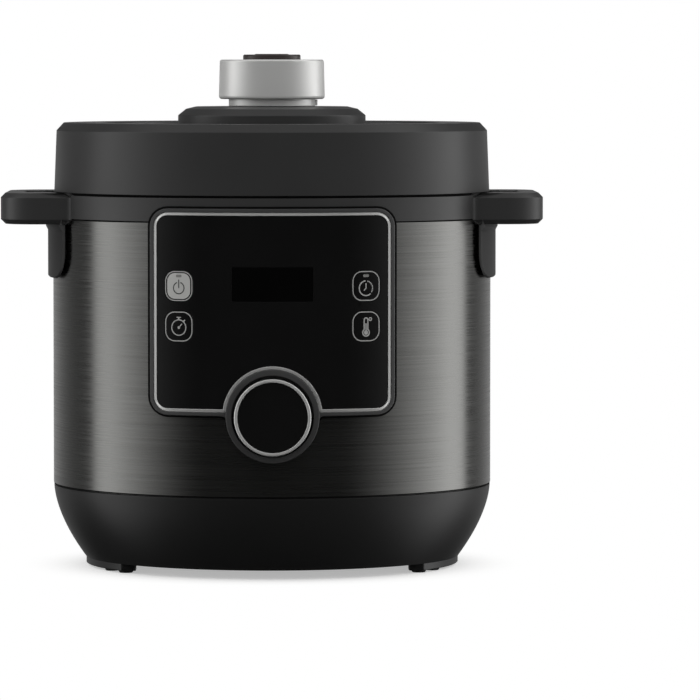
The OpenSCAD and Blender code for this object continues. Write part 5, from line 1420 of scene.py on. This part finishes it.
# %% [markdown]
# ## The lock bell
# Under the lid's skin a steel bell turns with the knob. Six hooks on its lower edge pass
# between the lugs of the fixed flange and then under them. Curved slots let the lid's posts
# and the float pin pass while it turns. The hooks repeat, so a tree places them.

# %% Lock bell
BELL_R, BELL_IN_R, BELL_Z0, BELL_Z1, BELL_T, DISC_R = 129, 126.5, 235.6, 264, 2.5, 119.8
HOOK_IN_R, HOOK_Z1 = 120.5, 239.2
LOCK_TURN, SLOT_PLAY, FLOAT_RING_R, FLOAT_TURN = 30, 5, 43.86, 136.85


def curved_slot(mid_r, half_w, a0, a1):
    """A slot along an arc, with soft corners."""
    loop = arc(mid_r + half_w, a0, a1, 20) + arc(mid_r - half_w, a0, a1, 20)[::-1]
    return rounded(loop, {0: 1.5, 20: 1.5, 21: 1.5, 41: 1.5})


sweeps = [(LID_POST_AT, 6, turn_by) for turn_by in LID_POST_TURNS] + [(FLOAT_RING_R, 5, FLOAT_TURN)]
slots = [curved_slot(r, half_w, a - SLOT_PLAY, a + LOCK_TURN + SLOT_PLAY) for r, half_w, a in sweeps]
disc = plate(circle(DISC_R, 192), circle(10, 64), *slots, levels=straight(BELL_Z1 - BELL_T, BELL_Z1))
skirt_section = [(BELL_IN_R, BELL_Z0), (BELL_R, BELL_Z0), (BELL_R, BELL_Z1), (DISC_R, BELL_Z1),
                 (DISC_R, BELL_Z1 - BELL_T), (BELL_IN_R, BELL_Z1 - BELL_T)]
skirt = lathe(rounded(skirt_section, {0: 0.4, 1: 0.6, 2: 3.0, 5: 1.2}), 192)
bell = solid("lock_bell_dressed", joined(disc, skirt))
hook_outline = rounded(arc(127, -10, 10, 10) + arc(HOOK_IN_R, -10, 10, 10)[::-1], {11: 1.2, 21: 1.2})
hook = solid("hook_shape", plate(hook_outline, levels=soft_levels(BELL_Z0, HOOK_Z1, 0.5)))
hooks = grown("lock_hooks", spun_steel, round_axis, Count=6, Ring_radius=0.0, Start_angle=30.0, Height=0.0,
              Shape=hook)
bpy.data.objects.remove(hook)
finish(bell, spun_steel, "lock", "lock_bell", slot="steel")
finish(hooks, spun_steel, "lock", "lock_bell", slot="steel")

# %% [markdown]
# ## Springs
# A compression spring is a wire on a spiral whose first and last turns lie flat. The
# spiral is a rule, so a tree bends a line into it and sweeps a round wire along it. Each
# spring gets its own copy of its mesh.

# %% Springs
WIRE, STEPS_PER_TURN = 1.0, 28.0


def coil_rule(tree, size):
    """A wire spiral with closed, flat end turns."""
    work = sums(tree)
    line = add(tree, "GeometryNodeCurvePrimitiveLine", {"Start": (0, 0, 0), "End": (0, 0, 1)}).outputs[0]
    count = work("MULTIPLY_ADD", size["Turns"], STEPS_PER_TURN, 1.0)
    line = add(tree, "GeometryNodeResampleCurve", {"Curve": line, "Count": count}).outputs[0]
    along = work("MULTIPLY", add(tree, "GeometryNodeSplineParameter").outputs["Factor"], size["Turns"])
    climb = work("DIVIDE", work("SUBTRACT", along, 1.0), work("SUBTRACT", size["Turns"], 2.0))
    climb = work("MINIMUM", work("MAXIMUM", climb, 0.0), 1.0)
    low = work("MULTIPLY_ADD", size["Wire"], 0.5, size["Low"])
    high = work("MULTIPLY_ADD", size["Wire"], -0.5, size["High"])
    z = work("MULTIPLY_ADD", climb, work("SUBTRACT", high, low), low)
    spot = on_circle(tree, size["Coil_radius"], work("MULTIPLY", along, math.tau), z)
    bent = add(tree, "GeometryNodeSetPosition", {"Geometry": line, "Position": spot}).outputs[0]
    section = {"Resolution": 12, "Radius": work("MULTIPLY", size["Wire"], 0.5)}
    wire = add(tree, "GeometryNodeCurvePrimitiveCircle", section).outputs[0]
    swept = {"Curve": bent, "Profile Curve": wire, "Fill Caps": True}
    return add(tree, "GeometryNodeCurveToMesh", swept).outputs[0]


def spring(name, body, node, turns, r, low_z, high_z):
    """A spring from low_z to high_z, on its body, with its own copy of its mesh."""
    coil = grown(name, bright_steel, coil_rule, Turns=turns, Coil_radius=r * MM, Wire=WIRE * MM,
                 Low=low_z * MM, High=high_z * MM)
    finish(coil, bright_steel, body, node, slot="steel")
    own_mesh(coil)


spring("release_spring_dressed", "lock", "release_spring", turns=9.0, r=6.5,
       low_z=285.9, high_z=BUTTON_UNDER_Z)
spring("sensor_spring_dressed", "housing", "sensor_spring", turns=8.0, r=6.0,
       low_z=59.5, high_z=79.0)

# %% [markdown]
# ## The cooking bowl
# The bowl is drawn aluminium sheet with a rounded bottom and a flat rim that hangs on the
# outer pot, so it is turned from one line with an even wall. Level marks are short, faintly
# raised arcs inside, where a cook reads them.

# %% Bowl
POT_FLAT_R, POT_CORNER, POT_CORNER_H, POT_WALL, POT_FLANGE_R = 58, 52, 82, 2, 117
POT_R = POT_FLAT_R + POT_CORNER
MARK_R, MARK_IN_R, MARK_W, MARK_TURNS, MARK_HEIGHTS = 108.05, 107.9, 0.9, (60, 78), (205.0, 185.0, 150.0)


def bowl_line(inset):
    """The bowl's side from its flat floor to its upright wall."""
    quarter = [math.radians(90 * i / 24) for i in range(25)]
    return [(POT_FLAT_R + (POT_CORNER - inset) * math.sin(a),
             POT_BASE_Z + inset + (POT_CORNER_H - inset) * (1 - math.cos(a))) for a in quarter]


outside = [(0, POT_BASE_Z)] + bowl_line(0) + [(POT_R, POT_RIM_Z)]
flange_corners = [(POT_R, POT_RIM_Z), (POT_FLANGE_R, POT_RIM_Z), (POT_FLANGE_R, POT_RIM_TOP),
                  (POT_R - POT_WALL, POT_RIM_TOP)]
flange = rounded(flange_corners, {0: 0.0, 1: 0.5, 2: 0.6, 3: 1.2}, closed=False)
inside = [(POT_R - POT_WALL, POT_RIM_TOP)] + bowl_line(POT_WALL)[::-1] + [(0, POT_BASE_Z + POT_WALL)]
marks = [lathe(box_outline(MARK_R, MARK_IN_R, z, z + MARK_W), 24, *MARK_TURNS) for z in MARK_HEIGHTS]
pot_mesh = joined(lathe(outside + flange[1:-1] + inside, 192), *marks)
part("inner_pot_dressed", pot_mesh, nonstick, "pot", "inner_pot", slot="nonstick", sharp=28)

# %% [markdown]
# ## Gasket and condensate cup
# The gasket is a soft moulded ring with a rounded lip. The cup at the back is a clear,
# smoky box with an even wall and round corners, hung by its two lips from its rails.

# %% Gasket
lip = [(107, 245.7), (108.5, 245.1), (115.5, 245.1), (117, 246.1), (117, 248.8), (107, 248.8)]
gasket = lathe(rounded(lip, {0: 0.4, 1: 0.5, 2: 0.6, 3: 0.6, 4: 0.3, 5: 0.3}), 192)
part("lid_gasket_dressed", gasket, silicone, "lid", "lid_gasket", slot="silicone")

# %% Condensate cup
CUP_HALF_W, CUP_Y0, CUP_Y1, CUP_Z0, CUP_Z1, CUP_WALL, CUP_CORNER = 23, 143, 158.5, 154.0, 204.0, 1.6, 3.4


def cup_ring(inset, z):
    """The cup's outline at that inset and height."""
    half, corner = CUP_HALF_W - inset, CUP_CORNER - min(inset, CUP_WALL)
    return [(x, y, z) for x, y in box_outline(-half, half, CUP_Y0 + inset, CUP_Y1 - inset, corner)]


outer_steps = [(2.0, CUP_Z0), (0.7, CUP_Z0 + 0.5), (0.15, CUP_Z0 + 1.4), (0.0, CUP_Z0 + 3),
               (0.0, CUP_Z1 - 0.4), (0.3, CUP_Z1)]
inner_steps = [(1.3, CUP_Z1), (CUP_WALL, CUP_Z1 - 0.4), (CUP_WALL, CUP_Z0 + 3.6), (2.2, CUP_Z0 + 2),
               (3.0, CUP_Z0 + 1.6)]
cup = loft([cup_ring(inset, z) for inset, z in outer_steps + inner_steps])
lips = [plate(box_outline(x0, x1, CUP_Y0, 154.2, 1.0), levels=soft_levels(CUP_Z1 - 2.2, CUP_Z1, 0.4))
        for x0, x1 in ((-26.6, -22.6), (22.6, 26.6))]
part("condensate_cup_dressed", joined(cup, *lips), cup_smoke, "cup", "condensate_cup", slot="cup_smoke")

# %% [markdown]
# ## Studio
# A product table: a pale floor, a white surround, and two tall soft lamps left and right
# whose light falls off towards the front. The lamps are drawn into the world as bright
# bands by direction, so every shiny part sees one consistent room. The world is white
# where the camera looks at it. For reflections it is white behind the object, grey at the sides
# and dark on the camera's side, as the black cloth round a product camera makes it. For
# soft light it is a nearly even room, in which a colour shows about as it is written.

# %% World with two soft lamps
def ray_kinds(tree):
    """Two sockets: 1 for a ray from the camera, also through clear plastic, and 1 for a mirrored ray."""
    rays = add(tree, "ShaderNodeLightPath")
    direct = {0: rays.outputs["Is Camera Ray"], 1: rays.outputs["Is Transmission Ray"]}
    return add(tree, "ShaderNodeMath", direct, operation="MAXIMUM").outputs[0], rays.outputs["Is Glossy Ray"]


LEFT_LAMP, RIGHT_LAMP = (-1, 36, 94, 104.5, 6.5), (1, 36, 106, 119, 6)
LEFT_STRENGTH, RIGHT_STRENGTH, SOFT_STRENGTH, LAMP_SHARE = 1.3, 1.6, 1.2, 0.3
GREY_SIDES, BACKDROP, BACKDROP_MIDDLE, CEILING, DARKEST = 0.12, 0.21, 0.6, 0.3, 0.02
world = bpy.data.worlds.new("studio")
bpy.context.scene.world = world
world.use_nodes = True
room = world.node_tree
room.nodes.clear()
calc = sums(room)
towards = add(room, "ShaderNodeTexCoord").outputs["Generated"]
axes = add(room, "ShaderNodeSeparateXYZ", {0: towards})
turn = calc("ARCTAN2", axes.outputs["X"], calc("MULTIPLY", axes.outputs["Y"], -1.0))
rise = calc("ARCSINE", axes.outputs["Z"])


def ramp(value, start, end, kind="SMOOTHSTEP"):
    """From 0 at start to 1 at end, both in degrees."""
    limits = {"Value": value, "From Min": math.radians(start), "From Max": math.radians(end)}
    return add(room, "ShaderNodeMapRange", limits, interpolation_type=kind).outputs[0]


def lamp(side, dark, bright, edge, soft):
    """A band that grows from dark to bright degrees off the front, and ends at edge within soft degrees."""
    angle = calc("MULTIPLY", turn, side)
    grow = ramp(angle, dark, bright, kind="LINEAR")
    return calc("MULTIPLY", calc("MULTIPLY", grow, grow), ramp(angle, edge + soft, edge))


left = calc("MULTIPLY", lamp(*LEFT_LAMP), LEFT_STRENGTH)
right = calc("MULTIPLY", lamp(*RIGHT_LAMP), RIGHT_STRENGTH)
tall = calc("MULTIPLY", ramp(rise, -48, -18), ramp(rise, 75, 45))
lamps = calc("MULTIPLY", calc("MAXIMUM", left, right), tall)
away = calc("ABSOLUTE", turn)
middle = calc("MULTIPLY", ramp(away, 166, 178), BACKDROP_MIDDLE)
backdrop = calc("MULTIPLY_ADD", ramp(away, 118, 165), BACKDROP, middle)
level_band = calc("MULTIPLY", ramp(rise, -24, -9), calc("MULTIPLY_ADD", ramp(rise, 7, 0), 0.8, 0.2))
surround = calc("MULTIPLY", calc("MULTIPLY_ADD", ramp(away, 40, 120), GREY_SIDES, backdrop), level_band)
overhead = calc("MULTIPLY", ramp(rise, 35, 65), CEILING)
in_mirrors = calc("ADD", calc("MAXIMUM", calc("MAXIMUM", surround, overhead), lamps), DARKEST)
from_above = calc("MULTIPLY_ADD", ramp(rise, 10, 60), -0.45, 1.0)
soft_light = calc("MULTIPLY", calc("MULTIPLY_ADD", lamps, LAMP_SHARE, SOFT_STRENGTH), from_above)
looked_at, mirrored = ray_kinds(room)
lit = {"Factor": mirrored, "A": soft_light, "B": in_mirrors}
level = add(room, "ShaderNodeMix", lit, data_type="FLOAT").outputs[0]
with_white = {"Factor": looked_at, "A": level, "B": 1.0}
strength = add(room, "ShaderNodeMix", with_white, data_type="FLOAT").outputs[0]
sky = add(room, "ShaderNodeBackground", {"Color": linear("#ffffff"), "Strength": strength})
add(room, "ShaderNodeOutputWorld", {"Surface": sky.outputs[0]})
print("the lamps end", LEFT_LAMP[3], "degrees left and", RIGHT_LAMP[3], "degrees right of the front")

# %% [markdown]
# ### Floor and camera
# The floor is pale and matt and keeps the object's shadow. For the camera it fades into the
# white of the surround further out, so no horizon shows. Shiny parts mirror only its
# nearest part, and soft light comes back from it as from mid grey. The camera stands 3.5 m
# away with a long lens, a little above the lid, and looks slightly down and to the right.

# %% Floor
FLOOR_HALF, SHADOW_START, SHADOW_END, FLOOR_LIFT = 12.0, 0.11, 0.165, 0.42
MIRRORED_START, MIRRORED_END = 0.05, 0.13
floor_mesh = bmesh.new()
bmesh.ops.create_grid(floor_mesh, x_segments=8, y_segments=8, size=FLOOR_HALF)
floor = bpy.data.objects.new("floor", bpy.data.meshes.new("floor"))
floor_mesh.to_mesh(floor.data)
floor_mesh.free()
bpy.context.scene.collection.objects.link(floor)
paper = bpy.data.materials.new("white_paper_sweep")
paper.use_nodes = True
tree = paper.node_tree
tree.nodes.clear()
place = add(tree, "ShaderNodeTexCoord").outputs["Object"]
reach = add(tree, "ShaderNodeVectorMath", {0: place}, operation="LENGTH").outputs["Value"]


def reached(start, end):
    """From 0 at start metres off the middle to 1 at end."""
    limits = {"Value": reach, "From Min": start, "From Max": end}
    return add(tree, "ShaderNodeMapRange", limits, interpolation_type="SMOOTHSTEP").outputs[0]


def mixed(factor, first, second):
    """One shader that turns into the other."""
    return add(tree, "ShaderNodeMixShader", {0: factor, 1: first, 2: second}).outputs[0]


fibre = mottle(tree, place, 2.0, detail=3)
matt = add(tree, "ShaderNodeBsdfDiffuse", {"Color": blend(tree, fibre, "#ededec", "#f4f4f3")}).outputs[0]
dull = add(tree, "ShaderNodeBsdfDiffuse", {"Color": linear("#707070")}).outputs[0]
glow = add(tree, "ShaderNodeEmission", {"Color": linear("#ffffff"), "Strength": 1.0}).outputs[0]
lift = add(tree, "ShaderNodeEmission", {"Color": linear("#ffffff"), "Strength": FLOOR_LIFT}).outputs[0]
gone = add(tree, "ShaderNodeBsdfTransparent").outputs[0]
near = add(tree, "ShaderNodeAddShader", {0: matt, 1: lift}).outputs[0]
shown = mixed(reached(SHADOW_START, SHADOW_END), near, glow)
in_gloss = mixed(reached(MIRRORED_START, MIRRORED_END), matt, gone)
floor_looked_at, floor_mirrored = ray_kinds(tree)
bounced = mixed(floor_mirrored, dull, in_gloss)
add(tree, "ShaderNodeOutputMaterial", {"Surface": mixed(floor_looked_at, bounced, shown)})
floor.data.materials.append(paper)
print("floor", 2 * FLOOR_HALF, "m wide")

# %% Camera
CAMERA_AT, LOOK_DOWN, LOOK_RIGHT = (-0.0068, -3.511, 0.319), 2.967, 0.927
FOCAL_PX, WIDTH_PX, SENSOR_MM = 5480, 700, 36
camera = bpy.data.objects.new("camera", bpy.data.cameras.new("camera"))
bpy.context.scene.collection.objects.link(camera)
camera.location = CAMERA_AT
camera.rotation_euler = (math.radians(90 - LOOK_DOWN), 0, math.radians(-LOOK_RIGHT))
camera.data.sensor_width, camera.data.lens = SENSOR_MM, FOCAL_PX / WIDTH_PX * SENSOR_MM
camera.data.clip_start, camera.data.clip_end = 0.1, 60
bpy.context.scene.camera = camera
bpy.context.scene.view_settings.view_transform = "Standard"
print("lens", round(camera.data.lens, 1), "mm on a", SENSOR_MM, "mm sensor")

# %% [markdown]
# ## Last update
# Dressing must not change the object's size. The last cell updates the view layer.

# %% Update the view layer
bpy.context.view_layer.update()
